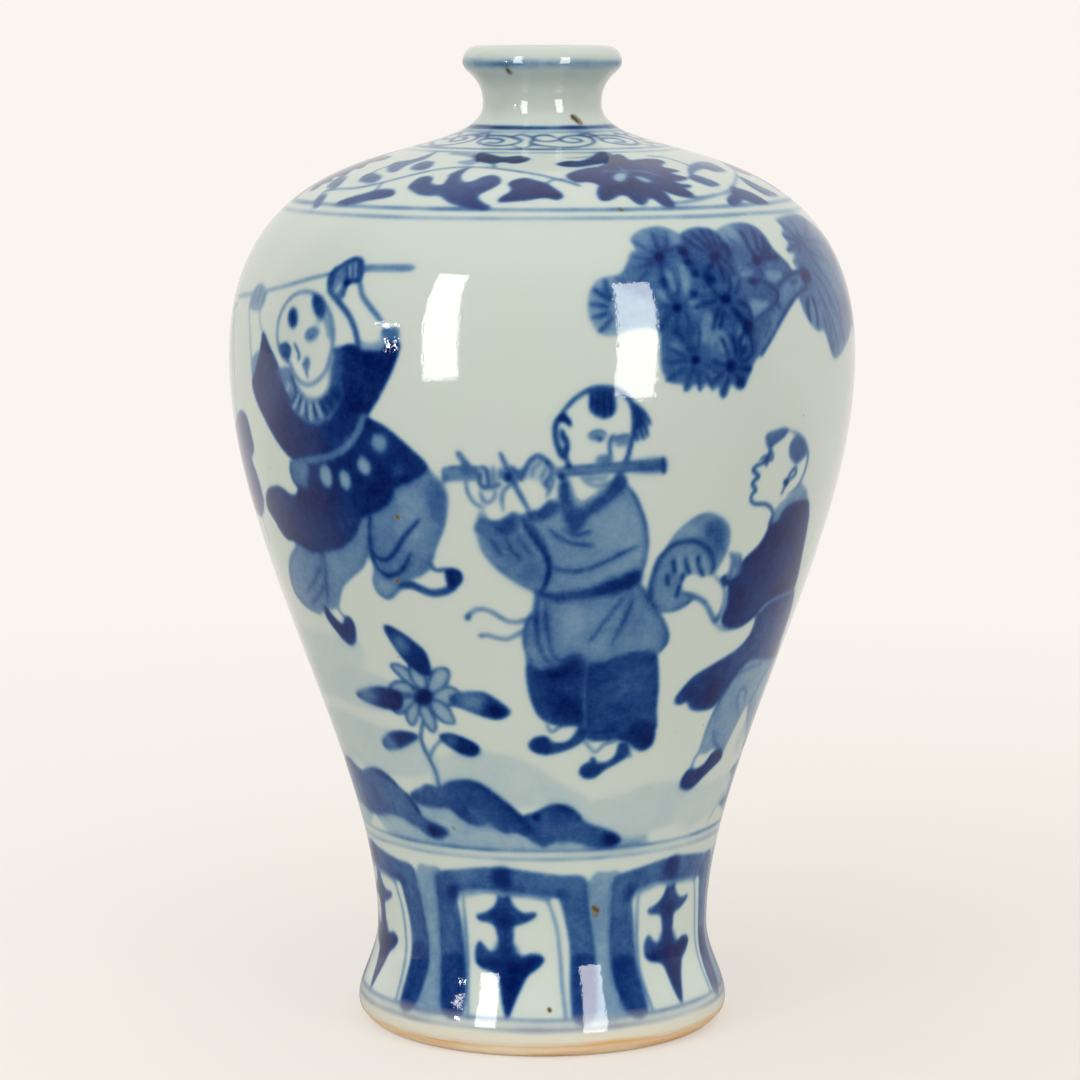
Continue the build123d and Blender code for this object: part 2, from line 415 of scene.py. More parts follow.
# The boy at the left, who swings a staff overhead
STAFF_BOY = {
    "staff past the left fist": line(SOFT, 5.5, (238, 296), (246, 295), (254, 293)),
    "staff between the fists": line(MID, 4.2, (262, 292), (285, 286), (305, 280), (334, 273)),
    "staff past the right fist": line(MID, 7.0, (358, 268), (380, 268), (400, 268), (414, 268)),
    "jacket": wash(DARK, (263, 331), (270, 347), (277, 362), (284, 378), (300, 398), (324, 398), (331, 378),
        (332, 352), (340, 347), (351, 344), (366, 350), (381, 349), (384, 342), (400, 342), (397, 358),
        (391, 373), (384, 388), (376, 403), (369, 414), (364, 426), (357, 440), (347, 449), (333, 455),
        (315, 459), (300, 461), (290, 457), (281, 447), (271, 431), (263, 415), (256, 399), (252, 382),
        (255, 369), (260, 350)),
    "shirt front": wash(0.70, (331, 350), (341, 348), (343, 366), (341, 385), (332, 389), (330, 368)),
    "cuff": wash(0.63, (382, 328), (398, 327), (399, 340), (391, 343), (383, 342), soft=0.6),
    "sleeve lining": wash(THIN, (357, 339), (366, 342), (376, 341), (384, 336), (384, 349), (366, 350),
        (358, 348)),
    "ruffle": wash(0.54, (276, 371), (283, 389), (290, 404), (297, 415), (306, 422), (318, 424), (330, 419),
        (338, 408), (343, 395), (341, 383), (331, 384), (326, 394), (318, 399), (309, 399), (301, 392),
        (294, 380), (290, 367)),
    "ruffle in shade": wash(0.76, (318, 401), (326, 396), (332, 387), (341, 385), (341, 396), (334, 408),
        (325, 414), soft=0.8, pool=0),
    "pale pleats": lines(PALE, 3.6, [(299, 397), (293, 408)], [(304, 401), (301, 415)],
        [(310, 403), (311, 420)], [(316, 403), (322, 418)], [(289, 384), (286, 392)], over=True),
    "dark pleats": lines(BLACK, 3.0, [(291, 374), (296, 392), (291, 405)], [(302, 395), (297, 412)],
        [(306, 400), (307, 420)], [(313, 401), (317, 421)], [(319, 400), (328, 416)],
        [(325, 396), (334, 410)], [(330, 389), (340, 399)], [(277, 372), (284, 390), (292, 405)]),
    "chin and bib": wash(BARE, (293, 370), (290, 360), (300, 350), (331, 350), (331, 370), (329, 387),
        (322, 397), (312, 399), (303, 393), (297, 383)),
    "head": outlined(BARE, 0.54, 4.4,
        [(277, 335), (279, 319), (285, 305), (293, 296), (302, 292), (310, 292), (318, 296), (325, 304),
         (330, 317), (332, 332), (332, 346), (329, 361), (325, 372), (317, 381), (308, 385), (301, 382),
         (295, 375), (291, 365), (285, 356), (279, 348)]),
    "bib edge": line(SOFT, 3.8, (332, 346), (331, 364), (329, 385), (323, 396), (313, 399), (303, 394),
        (296, 383)),
    "ear": wash(0.64, (279, 347), (286, 344), (291, 350), (290, 358), (287, 363), (281, 357)),
    "ear lines": lines(DARK, 3.0, [(279, 347), (286, 344), (291, 350)], [(284, 352), (287, 357), (287, 362)]),
    "left tuft": dab(0.80, (293, 318), 10, 22, soft=0.8),
    "right tuft": wash(0.78, (312, 298), (317, 295), (322, 298), (325, 306), (325, 317), (320, 319),
        (314, 312), soft=0.6),
    "brow": line(0.44, 6.0, (317, 321), (324, 319), (328, 328), (329, 338)),
    "eye": wash(0.50, (304, 336), (308, 330), (315, 326), (320, 329), (318, 337), (312, 342), (306, 341),
        soft=0.6),
    "eyelid": lines(DEEP, 2.4, [(305, 335), (309, 330), (316, 327)], [(309, 338), (314, 335)]),
    "nose": line(DEEP, 3.0, (294, 343), (297, 349), (299, 355), (298, 361)),
    "mouth": washes(0.52, [(303, 362), (306, 356), (310, 358), (309, 364)],
        [(303, 365), (309, 365), (309, 371), (304, 371)], soft=0.5),
    "lips": lines(DARK, 2.4, [(302, 365), (306, 363), (310, 364)], [(306, 372), (308, 377)]),
    "cheek": line(SOFT, 3.4, (288, 360), (293, 370), (299, 379)),
    "face edge": line(0.56, 5.6, (324, 303), (330, 315), (333, 330), (333, 344)),
    "left fist": wash(SOFT, (249, 307), (251, 296), (256, 286), (262, 283), (267, 290), (266, 299),
        (261, 310), (254, 311)),
    "left fingers": lines(FULL, 2.6, [(252, 303), (257, 287)], [(256, 306), (262, 287)],
        [(261, 306), (266, 291)]),
    "left forearm": lines(SOFT, 3.6, [(249, 305), (250, 330), (251, 354), (253, 374)],
        [(260, 308), (260, 322), (263, 334)], taper=0.2),
    "left sleeve tip": wash(SOFT, (251, 362), (256, 352), (259, 352), (255, 372), (252, 376)),
    "right fist": wash(MID, (329, 291), (330, 279), (334, 270), (341, 266), (348, 262), (355, 259),
        (361, 261), (362, 272), (360, 281), (350, 283), (344, 288), (342, 297), (335, 299)),
    "right fist outline": line(DEEP, 4.6, (329, 292), (329, 282), (332, 273), (340, 267), (348, 262),
        (355, 259), (361, 261), (362, 270), (360, 281), taper=0.2),
    "light on the fingers": lines(FAINT, 3.0, [(350, 266), (351, 279)], [(355, 263), (355, 279)],
        [(336, 292), (341, 284)], over=True),
    "right fingers": lines(DARK, 2.6, [(347, 265), (348, 280)], [(353, 263), (353, 280)],
        [(358, 263), (358, 280)]),
    "knuckles": line(DARK, 4.0, (345, 282), (353, 281), (361, 281)),
    "thumb": lines(DEEP, 4.4, [(336, 267), (333, 278), (331, 288)], [(347, 281), (345, 288), (343, 297)]),
    "palm": dab(BLACK, (347, 283), 6, 7),
    "right forearm below": line(DEEP, 5.4, (329, 289), (335, 298), (342, 306), (349, 316), (354, 327),
        (357, 338), (359, 347), taper=0.2),
    "right forearm above": line(FULL, 5.0, (360, 281), (362, 294), (368, 304), (375, 313), (382, 322),
        taper=0.2),
    "left leg": wash(0.52, (300, 532), (294, 550), (290, 564), (291, 577), (294, 590), (300, 600),
        (310, 608), (320, 614), (327, 610), (338, 608), (338, 597), (341, 588), (350, 577), (361, 566),
        (368, 556), (370, 545), (372, 505), (350, 520), (325, 530), pool=0.1),
    "right leg": wash(0.53, (366, 505), (375, 495), (390, 475), (408, 468), (426, 466), (438, 479),
        (445, 489), (447, 500), (445, 515), (441, 530), (436, 545), (432, 556), (434, 566), (428, 572),
        (420, 577), (408, 581), (398, 590), (390, 597), (383, 594), (376, 586), (373, 577), (373, 566),
        (368, 552), (369, 530), pool=0.1),
    "light on the knee": wash(SOFT, (398, 495), (412, 490), (425, 500), (425, 525), (415, 548), (405, 552),
        (399, 530), soft=1.8, pool=0),
    "seam between the legs": line(DARK, 4.2, (370, 512), (370, 540), (373, 558), (378, 570)),
    "knee shade": wash(0.66, (428, 482), (440, 481), (446, 495), (444, 514), (434, 520), (428, 505),
        soft=1.6, pool=0),
    "light on the hem": wash(SOFT, (377, 577), (386, 583), (397, 583), (395, 592), (387, 595), (380, 588),
        soft=0.8, pool=0),
    "left leg folds": lines(DEEP, 3.6, [(323, 548), (326, 575), (328, 604)],
        [(321, 567), (315, 580), (306, 594)], [(325, 582), (320, 594), (312, 604)]),
    "knee folds": lines(DARK, 4.2,
        [(370, 549), (377, 557), (386, 560), (395, 552), (402, 540), (410, 530), (420, 519)],
        [(375, 565), (386, 575), (396, 574), (405, 566), (411, 552)]),
    "trouser hems": lines(FULL, 4.0, [(373, 576), (377, 590), (388, 598), (398, 590), (408, 582)],
        [(447, 498), (443, 525), (434, 549), (431, 560), (419, 577)],
        [(369, 548), (362, 566), (350, 577), (341, 588), (338, 608)], [(321, 549), (322, 570), (329, 590)],
        [(299, 545), (291, 558), (290, 572), (294, 590), (304, 604), (320, 614)]),
    "calf fold": line(MID, 3.4, (307, 588), (316, 577), (322, 572)),
    "skirt": wash(DARK, (311, 460), (325, 457), (340, 452), (353, 443), (361, 430), (366, 418), (375, 421),
        (386, 427), (397, 436), (408, 446), (418, 455), (425, 462), (428, 469), (420, 476), (409, 482),
        (398, 486), (393, 490), (392, 498), (387, 505), (378, 511), (367, 515), (361, 520), (358, 530),
        (352, 539), (342, 547), (327, 551), (313, 552), (304, 547), (296, 542), (287, 539), (280, 530),
        (274, 519), (268, 509), (266, 499), (268, 490), (275, 486), (283, 488), (290, 494), (297, 493),
        (300, 470)),
    "sash": line(MID, 6.4, (293, 463), (312, 460), (327, 457), (341, 451), (352, 441), (359, 429),
        (364, 416), over=True, taper=0.2),
    "sash end": wash(MID, (291, 461), (291, 472), (294, 482), (300, 488), (308, 488), (309, 474), (308, 461)),
    "sash folds": lines(DEEP, 3.4, [(291, 461), (291, 472), (295, 483), (303, 488)],
        [(309, 463), (309, 476), (308, 489)]),
    "skirt spots": lambda sheet: paint_spots(sheet, STAFF_BOY_SPOTS),
    "left shoe": wash(DARK, (325, 606), (331, 613), (338, 621), (343, 624), (345, 617), (350, 617),
        (354, 623), (356, 633), (355, 642), (351, 645), (345, 641), (338, 633), (331, 624), (326, 616)),
    "left shoe strap": line(FULL, 3.2, (337, 606), (341, 613), (346, 618)),
    "right shoe": line(DEEP, 7.0, (400, 586), (411, 585), (421, 589), (431, 593), (443, 592), (453, 588),
        taper=0.2),
    "right toe": wash(DARK, (445, 570), (452, 568), (460, 571), (463, 578), (459, 586), (450, 588),
        (446, 580)),
    "right shoe strap": line(DEEP, 3.4, (430, 562), (435, 570), (446, 569)),
}

# Spots on the skirt of the boy with the staff: strength, middle, width, height and lean
STAFF_BOY_SPOTS = (
    (THIN, (326, 476), 12, 24, -12),
    (THIN, (345, 480), 11, 21, -14),
    (THIN, (364, 466), 13, 19, -22),
    (SOFT, (379, 443), 16, 18, -20),
    (FULL, (399, 469), 15, 14, -20),
)

# The boy in the middle, who plays a flute
FLUTE_BOY = {
    "left trouser": wash(0.79, (527, 650), (545, 650), (565, 640), (580, 645), (588, 660), (588, 690),
        (587, 715), (586, 728), (575, 726), (560, 726), (548, 723), (540, 715), (533, 705), (529, 690),
        (527, 670)),
    "right trouser": wash(0.79, (584, 655), (600, 645), (620, 640), (650, 640), (657, 652), (657, 680),
        (656, 700), (654, 715), (655, 730), (652, 742), (645, 750), (637, 750), (630, 744), (618, 740),
        (605, 741), (590, 741), (583, 730), (585, 700)),
    "worn paint": wash(0.72, (592, 672), (615, 676), (640, 672), (645, 690), (625, 700), (602, 705),
        (592, 698), soft=2.4, pool=0),
    "trouser shade": washes(BLACK, [(545, 690), (565, 695), (583, 700), (585, 722), (570, 723), (552, 713)],
        [(530, 668), (548, 672), (566, 664), (582, 668), (582, 676), (545, 682)], soft=1.8, pool=0),
    "loose hem": wash(BLACK, (633, 724), (645, 721), (654, 729), (652, 745), (641, 750), (631, 742),
        soft=0.9),
    "trouser edges": lines(DARK, 3.6, [(656, 655), (657, 685), (655, 712), (656, 728)],
        [(590, 737), (606, 731), (622, 734)], [(527, 664), (530, 690), (538, 712), (548, 722)]),
    "gap between the legs": line(0.58, 2.6, (587, 664), (585, 680), (584, 698), (585, 714), (584, 728),
        taper=0.2, over=True),
    "brush streaks": lines(DARK, 3.0, [(594, 684), (615, 680), (646, 684)],
        [(596, 712), (622, 708), (650, 712)], [(536, 700), (556, 704), (580, 698)]),
    "skirt": wash(0.52, (536, 588), (548, 594), (570, 594), (600, 590), (625, 582), (639, 574), (643, 594),
        (652, 605), (660, 616), (667, 630), (667, 641), (660, 652), (650, 653), (630, 654), (610, 661),
        (596, 665), (588, 663), (582, 655), (572, 657), (560, 666), (545, 670), (532, 665), (526, 655),
        (524, 642), (526, 628), (531, 613), pool=0.1),
    "light on the skirt": washes(0.47, [(585, 640), (605, 638), (608, 653), (596, 660), (586, 655)],
        [(626, 646), (640, 635), (657, 634), (658, 646), (640, 650)],
        [(560, 612), (585, 612), (582, 640), (562, 640)], soft=1.6, pool=0),
    "skirt folds": lines(DEEP, 4.8, [(547, 600), (546, 620), (549, 640), (553, 655), (560, 661), (572, 655)],
        [(538, 598), (536, 620), (538, 640), (544, 657), (556, 667)]),
    "long folds": lines(DEEP, 3.8, [(634, 596), (627, 614), (619, 630), (611, 645)],
        [(625, 597), (612, 612), (600, 628), (589, 643)], [(531, 613), (525, 632), (526, 650), (534, 665)]),
    "skirt hem": lines(DEEP, 3.8, [(640, 584), (646, 596), (655, 609), (665, 626), (667, 640), (660, 652)],
        [(588, 663), (600, 665), (612, 660), (630, 654), (652, 653)],
        [(540, 669), (556, 667), (570, 657), (582, 655)]),
    "robe": wash(0.48, (478, 512), (484, 511), (490, 519), (500, 520), (508, 514), (515, 512), (522, 515),
        (528, 510), (540, 509), (549, 500), (556, 502), (558, 485), (562, 474), (570, 480), (579, 500),
        (590, 496), (605, 486), (617, 474), (623, 481), (633, 492), (639, 505), (644, 520), (647, 540),
        (646, 555), (642, 570), (639, 584), (610, 592), (580, 596), (550, 597), (536, 593), (525, 585),
        (512, 578), (500, 569), (490, 563), (483, 551), (478, 538), (474, 530), (476, 520), pool=0.1),
    "light on the robe": washes(SOFT,
        [(592, 520), (615, 503), (634, 510), (641, 535), (637, 550), (612, 553), (596, 545)],
        [(592, 572), (618, 561), (638, 556), (636, 566), (612, 576)],
        [(484, 541), (500, 541), (505, 553), (498, 562), (488, 555)], soft=2.0, pool=0),
    "cuffs": washes(0.70,
        [(474, 529), (480, 518), (489, 520), (498, 521), (508, 515), (514, 511), (519, 517), (518, 528),
         (510, 534), (495, 537), (482, 536)],
        [(526, 512), (540, 510), (547, 502), (553, 499), (560, 508), (551, 517), (540, 521), (529, 522)]),
    "sleeve in shade": wash(0.58, (478, 524), (500, 532), (520, 530), (532, 546), (540, 570), (538, 590),
        (520, 584), (500, 568), (486, 548), soft=2.2, pool=0),
    "collar": washes(0.72,
        [(559, 489), (566, 479), (571, 496), (575, 509), (580, 522), (573, 532), (566, 525), (561, 508)],
        [(576, 511), (590, 503), (604, 493), (614, 479), (621, 472), (628, 483), (617, 496), (601, 509),
         (588, 518), (578, 528), (572, 532), (570, 521)]),
    "dark of the collar and cuffs": washes(0.84,
        [(568, 512), (576, 508), (586, 514), (580, 528), (572, 531)],
        [(538, 512), (548, 504), (556, 506), (549, 516), (540, 519)],
        [(497, 524), (510, 519), (517, 522), (512, 531), (499, 534)],
        [(610, 486), (620, 476), (626, 483), (616, 494)], soft=1.0, pool=0),
    "sleeve line": line(BLACK, 4.4, (521, 515), (527, 528), (536, 541), (544, 553), (549, 566), (547, 580),
        (541, 593)),
    "sleeve folds": lines(DEEP, 4.2, [(528, 520), (540, 538), (549, 557), (549, 568)],
        [(505, 536), (511, 549), (521, 560)], [(514, 530), (521, 542), (532, 555)],
        [(490, 537), (496, 548), (503, 556)]),
    "sleeve edge": line(FULL, 3.6, (478, 538), (485, 553), (497, 567), (515, 580), (536, 592)),
    "robe folds": lines(DEEP, 4.2, [(549, 528), (559, 537), (575, 544), (594, 545)],
        [(562, 528), (575, 535), (591, 531)],
        [(549, 566), (565, 571), (585, 570), (605, 562), (625, 552), (640, 545)]),
    "robe edge": line(DEEP, 3.8, (622, 481), (635, 497), (644, 520), (647, 540), (645, 560), (640, 576)),
    "belt": wash(0.74, (535, 589), (550, 593), (580, 590), (610, 582), (639, 570), (640, 580), (628, 588),
        (605, 594), (580, 600), (555, 602), (545, 598), (537, 596), soft=0.5),
    "dark of the belt": wash(BLACK, (596, 588), (618, 580), (639, 570), (640, 580), (626, 588), (604, 594),
        soft=1.6, pool=0),
    "ribbons": lines(MID, 4.8,
        [(533, 616), (522, 621), (510, 622), (500, 617), (490, 611), (480, 609), (472, 612), (467, 618)],
        [(528, 628), (518, 634), (508, 639), (497, 638), (487, 635), (479, 636)], taper=0.3),
    "ribbon knots": washes(FULL, [(464, 617), (467, 613), (471, 614), (471, 619), (467, 622)],
        [(479, 634), (482, 633), (483, 637), (480, 638)]),
    "left shoe": wash(DEEP, (528, 746), (533, 738), (545, 736), (552, 741), (560, 743), (570, 739),
        (580, 727), (587, 734), (580, 744), (565, 751), (548, 755), (535, 753)),
    "right shoe": wash(DEEP, (579, 770), (585, 763), (593, 762), (605, 762), (615, 755), (619, 743),
        (628, 745), (629, 755), (618, 763), (605, 770), (595, 778), (586, 779), (580, 775)),
    "shoe caps": lines(DARK, 5.0, [(546, 738), (548, 745), (545, 752)], [(592, 758), (594, 765), (590, 773)]),
    "shoe straps": lines(FULL, 3.2, [(546, 725), (552, 732), (560, 727), (570, 726)],
        [(584, 741), (590, 748), (596, 752), (604, 745), (617, 741)], [(628, 748), (631, 758)]),
}

# The flute player's head, shaven but for three tufts
FLUTE_HEAD = {
    "skull": line(DEEP, 4.2, (562, 414), (567, 407), (575, 399), (585, 392), (595, 388), (610, 388),
        (622, 393), (632, 403), (634, 415), (634, 430), (631, 443), (628, 456), (623, 466), (618, 475),
        taper=0.2),
    "top tuft": wash(FULL, (590, 392), (598, 388), (612, 389), (616, 400), (616, 411), (611, 417),
        (603, 419), (596, 416), (590, 411), (589, 401)),
    "top tuft hairs": lines(BLACK, 3.4, [(592, 392), (591, 411)], [(598, 390), (597, 416)],
        [(604, 390), (604, 418)], [(610, 391), (611, 416)]),
    "side tuft": wash(DEEP, (628, 400), (636, 406), (642, 411), (644, 420), (643, 428), (639, 427),
        (636, 430), (633, 424), (632, 412)),
    "side tuft hairs": lines(DARK, 3.0, [(630, 402), (643, 411), (651, 425)],
        [(632, 408), (643, 420), (648, 437)], [(633, 414), (639, 426), (644, 440)],
        [(633, 420), (635, 430), (638, 441)], [(636, 408), (646, 416), (649, 422)]),
    "ear": line(DARK, 4.4, (563, 414), (557, 421), (555, 430), (556, 440), (559, 450), (563, 457),
        (567, 448), (566, 438), taper=0.2),
    "ear top": wash(BLACK, (557, 421), (563, 414), (569, 418), (572, 424), (570, 428), (565, 422)),
    "ear fold": line(DARK, 4.0, (562, 430), (564, 441)),
    "jaw": line(DEEP, 4.0, (565, 448), (566, 458), (570, 468)),
    "left eye": wash(0.36, (587, 437), (592, 432), (600, 431), (606, 434), (606, 438), (601, 442),
        (593, 442), soft=0.5),
    "left lid": lines(DEEP, 2.4, [(588, 436), (593, 432), (601, 431), (607, 435)],
        [(590, 439), (596, 437), (604, 439)]),
    "pupil": dab(BLACK, (600, 440), 4.2, 4),
    "right eye": wash(SOFT, (613, 438), (620, 434), (629, 434), (628, 444), (620, 448), (615, 445), soft=0.5),
    "right lid": line(DEEP, 2.4, (614, 440), (620, 436), (629, 435)),
    "nose": line(DEEP, 3.2, (614, 434), (610, 442), (610, 451), (612, 459)),
    "nose end": wash(MID, (595, 461), (598, 455), (604, 454), (610, 455), (613, 460), (606, 464), soft=0.5),
    "mouth": lines(MID, 4.0, [(581, 477), (589, 484), (599, 486), (609, 482)],
        [(586, 478), (598, 479), (608, 477)]),
}

# The flute across the view, and the hands that hold it
FLUTE_AND_HANDS = {
    "flute": wash(0.48, (443, 467), (461, 466), (500, 468), (540, 468), (580, 466), (620, 463), (664, 459),
        (666, 465), (664, 471), (630, 471), (590, 474), (550, 477), (500, 481), (470, 481), (444, 482),
        (443, 476), pool=0.3),
    "flute right end": wash(FULL, (632, 462), (648, 460), (664, 458), (667, 465), (664, 472), (640, 472),
        (630, 472), soft=1.6, pool=0),
    "flute edges": lines(DEEP, 2.8, [(556, 476), (580, 474), (610, 472), (640, 470), (663, 469)],
        [(560, 468), (600, 465), (664, 460)], [(443, 468), (444, 483)],
        [(446, 468), (462, 467), (480, 468)]),
    "flute end": line(DARK, 4.4, (663, 459), (664, 472), taper=0.1),
    "flute shade": line(FULL, 5.0, (460, 472), (470, 472), (482, 473), taper=0.2),
    "left fingers": wash(0.10, (480, 468), (487, 467), (497, 468), (502, 476), (505, 487), (497, 499),
        (487, 502), (479, 497), (479, 482)),
    "left thumb": line(FULL, 6.0, (458, 453), (463, 460), (469, 468), taper=0.2),
    "left finger lines": lines(DEEP, 3.6, [(480, 467), (486, 469), (488, 478), (489, 488)],
        [(481, 472), (480, 484), (486, 489)]),
    "left finger gaps": lines(FULL, 3.0, [(493, 465), (494, 484)], [(500, 468), (499, 480)]),
    "left palm": lines(FULL, 5.0, [(484, 487), (492, 487), (500, 484)], [(500, 474), (507, 478), (512, 482)]),
    "left palm shade": dab(DARK, (508, 477), 9, 11, 20, soft=0.6),
    "left hand": lines(FULL, 3.6, [(466, 481), (467, 490), (471, 499), (477, 505), (485, 509)],
        [(480, 491), (483, 500), (488, 503), (494, 498), (495, 491)],
        [(511, 484), (504, 491), (502, 500), (503, 511)]),
    "right fingers": wash(PALE, (524, 477), (528, 465), (536, 458), (546, 461), (554, 468), (553, 480),
        (548, 487), (540, 482), (531, 480), soft=0.6),
    "right hand": line(DEEP, 4.6, (512, 466), (517, 473), (521, 479), (525, 470), (530, 461), (538, 456),
        (546, 460), (555, 468)),
    "right finger lines": lines(FULL, 3.2, [(532, 478), (534, 468), (541, 462)], [(540, 480), (546, 468)],
        [(541, 482), (548, 488)], [(554, 478), (551, 488), (546, 497)]),
    "right finger gap": line(DEEP, 3.8, (549, 463), (552, 473), (546, 483), (549, 490)),
    "flute tassel": line(DEEP, 4.4, (500, 453), (508, 470), (517, 489), (528, 509), taper=0.3),
    "dark points": washes(DARK, [(559, 474), (564, 474), (564, 479), (559, 479)],
        [(546, 461), (550, 462), (549, 466), (546, 465)], [(567, 464), (571, 465), (570, 469), (567, 468)]),
}

# The boy at the right in profile, who beats a flat drum
DRUM_BOY = {
    "far leg": wash(SOFT, (749, 700), (757, 675), (768, 648), (779, 648), (774, 680), (765, 702), (757, 720),
        (750, 739), (745, 736), (746, 718)),
    "near leg": wash(SOFT, (752, 646), (740, 662), (731, 680), (723, 695), (714, 710), (707, 725),
        (702, 740), (698, 753), (706, 754), (713, 749), (722, 753), (728, 742), (735, 728), (742, 714),
        (749, 702), (757, 688), (766, 674), (774, 655)),
    "trouser lines": lines(FULL, 3.4, [(732, 681), (720, 701), (709, 723), (700, 750)],
        [(739, 716), (737, 701), (741, 689), (746, 691), (744, 702)], [(713, 730), (715, 742), (721, 753)],
        [(733, 677), (748, 668), (762, 664)], [(773, 658), (759, 685), (748, 706)],
        [(778, 652), (770, 682), (758, 716), (750, 738)]),
    "skirt": wash(DEEP, (757, 612), (768, 600), (780, 594), (794, 588), (791, 610), (786, 625), (781, 640),
        (776, 656), (765, 659), (752, 659), (741, 669), (732, 681), (725, 691), (718, 701), (712, 708),
        (700, 711), (690, 709), (687, 702), (680, 705), (674, 703), (676, 696), (684, 686), (695, 675),
        (710, 666), (725, 657), (738, 648), (748, 637), (754, 624)),
    "skirt shade": wash(DARK, (686, 690), (700, 680), (716, 676), (722, 686), (708, 704), (693, 706),
        soft=1.4, pool=0),
    "jacket": wash(DARK, (770, 518), (768, 528), (764, 537), (757, 547), (748, 555), (740, 565), (733, 575),
        (729, 583), (728, 595), (727, 607), (723, 615), (722, 623), (728, 628), (738, 628), (747, 623),
        (756, 615), (763, 606), (770, 600), (780, 595), (793, 590), (798, 575), (802, 555), (806, 535),
        (809, 515), (808, 500), (800, 494), (786, 502), (776, 512)),
    "jacket hem": line(SOFT, 3.4, (757, 614), (768, 603), (780, 596), (794, 590), over=True),
    "collar": wash(SOFT, (770, 523), (773, 514), (777, 506), (783, 500), (790, 495), (797, 489), (801, 483),
        (807, 490), (807, 499), (799, 501), (790, 504), (783, 511), (777, 522)),
    "profile": line(DARK, 3.4, (770, 448), (769, 455), (763, 463), (756, 466), (753, 470), (757, 474),
        (759, 477), (755, 480), (752, 484), (755, 488), (756, 491), (752, 494), (751, 500), (755, 504),
        (765, 504), (771, 508), (773, 515), (769, 524), taper=0.2),
    "fringe": wash(FULL, (765, 438), (767, 433), (775, 430), (785, 427), (790, 430), (784, 437), (778, 442),
        (771, 448), (767, 447)),
    "fringe edge": line(DARK, 3.6, (769, 446), (777, 441), (786, 434)),
    "brow": lines(DARK, 2.6, [(769, 447), (773, 455), (772, 461)], [(760, 460), (765, 456), (771, 456)]),
    "eye": lines(BLACK, 3.0, [(762, 464), (766, 460), (771, 460)], [(766, 461), (767, 466)]),
    "back of the head": line(FULL, 3.6, (788, 430), (798, 434), (805, 442), (808, 455), (806, 467),
        (802, 478), (796, 488), (787, 495)),
    "crown tuft": wash(FULL, (789, 450), (791, 441), (798, 435), (804, 442), (807, 452), (802, 460),
        (796, 464), (790, 458), soft=0.6),
    "ear": lines(DEEP, 3.6, [(788, 479), (785, 486), (781, 495)],
        [(788, 480), (790, 474), (795, 468), (796, 473), (790, 480)]),
    "ear lobe": dab(DARK, (786, 482), 6, 7),
    "drum": wash(0.48, (650, 600), (651, 585), (655, 570), (661, 556), (668, 543), (677, 531), (688, 521),
        (699, 514), (710, 512), (720, 515), (728, 522), (731, 531), (730, 543), (727, 553), (722, 563),
        (717, 571), (710, 580), (700, 590), (694, 600), (684, 607), (675, 611), (664, 611), (656, 607)),
    "light on the drum": wash(SOFT, (678, 533), (690, 525), (701, 527), (700, 536), (686, 539), (674, 545),
        soft=1.2, pool=0),
    "drum shade": wash(FULL, (710, 520), (724, 525), (727, 540), (720, 556), (713, 545), (704, 532),
        soft=1.4, pool=0),
    "drum rim": lines(DEEP, 5.2,
        [(662, 557), (668, 549), (678, 543), (690, 541), (700, 543), (708, 549), (712, 557), (714, 565),
         (711, 574)], [(650, 602), (651, 585), (658, 562), (664, 553)], taper=0.3),
    "pale fingers": lines(0.36, 4.2, [(679, 556), (681, 576)], [(692, 556), (694, 572)],
        [(703, 556), (707, 577)], over=True),
    "finger shadows": lines(DARK, 4.0, [(673, 559), (675, 574)], [(667, 574), (668, 586)],
        [(685, 558), (687, 567), (690, 574)], [(698, 556), (699, 566), (704, 578)], [(683, 573), (682, 584)],
        [(680, 584), (676, 598)]),
    "drum lower rim": lines(FULL, 5.0, [(652, 602), (660, 609), (672, 610), (684, 605), (692, 599)],
        [(652, 588), (653, 598)]),
    "beating hand": wash(BARE, (683, 590), (684, 580), (692, 575), (703, 578), (712, 576), (719, 581),
        (724, 589), (724, 598), (721, 610), (715, 619), (709, 611), (704, 602), (697, 597), (689, 594)),
    "hand below": line(FULL, 5.0, (682, 593), (690, 595), (698, 598), (705, 603), (710, 612), (715, 622),
        (718, 616), taper=0.2),
    "hand above": line(MID, 3.8, (711, 573), (719, 580), (724, 589), (724, 599), (721, 610), (716, 620),
        taper=0.2),
    "sleeve edge": line(SOFT, 4.4, (729, 581), (728, 598), (723, 613), (717, 623), (721, 629), (733, 630)),
    "sleeve fold": wash(DARK, (721, 577), (731, 574), (732, 582), (724, 586)),
    "cuff": wash(SOFT, (730, 552), (740, 553), (742, 562), (738, 575), (727, 580), (728, 570), (730, 560)),
    "cuff lines": lines(DEEP, 2.8, [(730, 552), (733, 563), (729, 579)],
        [(740, 553), (740, 565), (735, 578)], [(735, 555), (737, 570)]),
    "shoe": wash(DARK, (680, 785), (683, 776), (690, 768), (696, 769), (705, 763), (712, 753), (720, 750),
        (722, 757), (714, 766), (705, 775), (697, 783), (690, 789), (683, 789)),
    "sock": line(FULL, 3.4, (700, 751), (694, 760), (691, 769)),
}

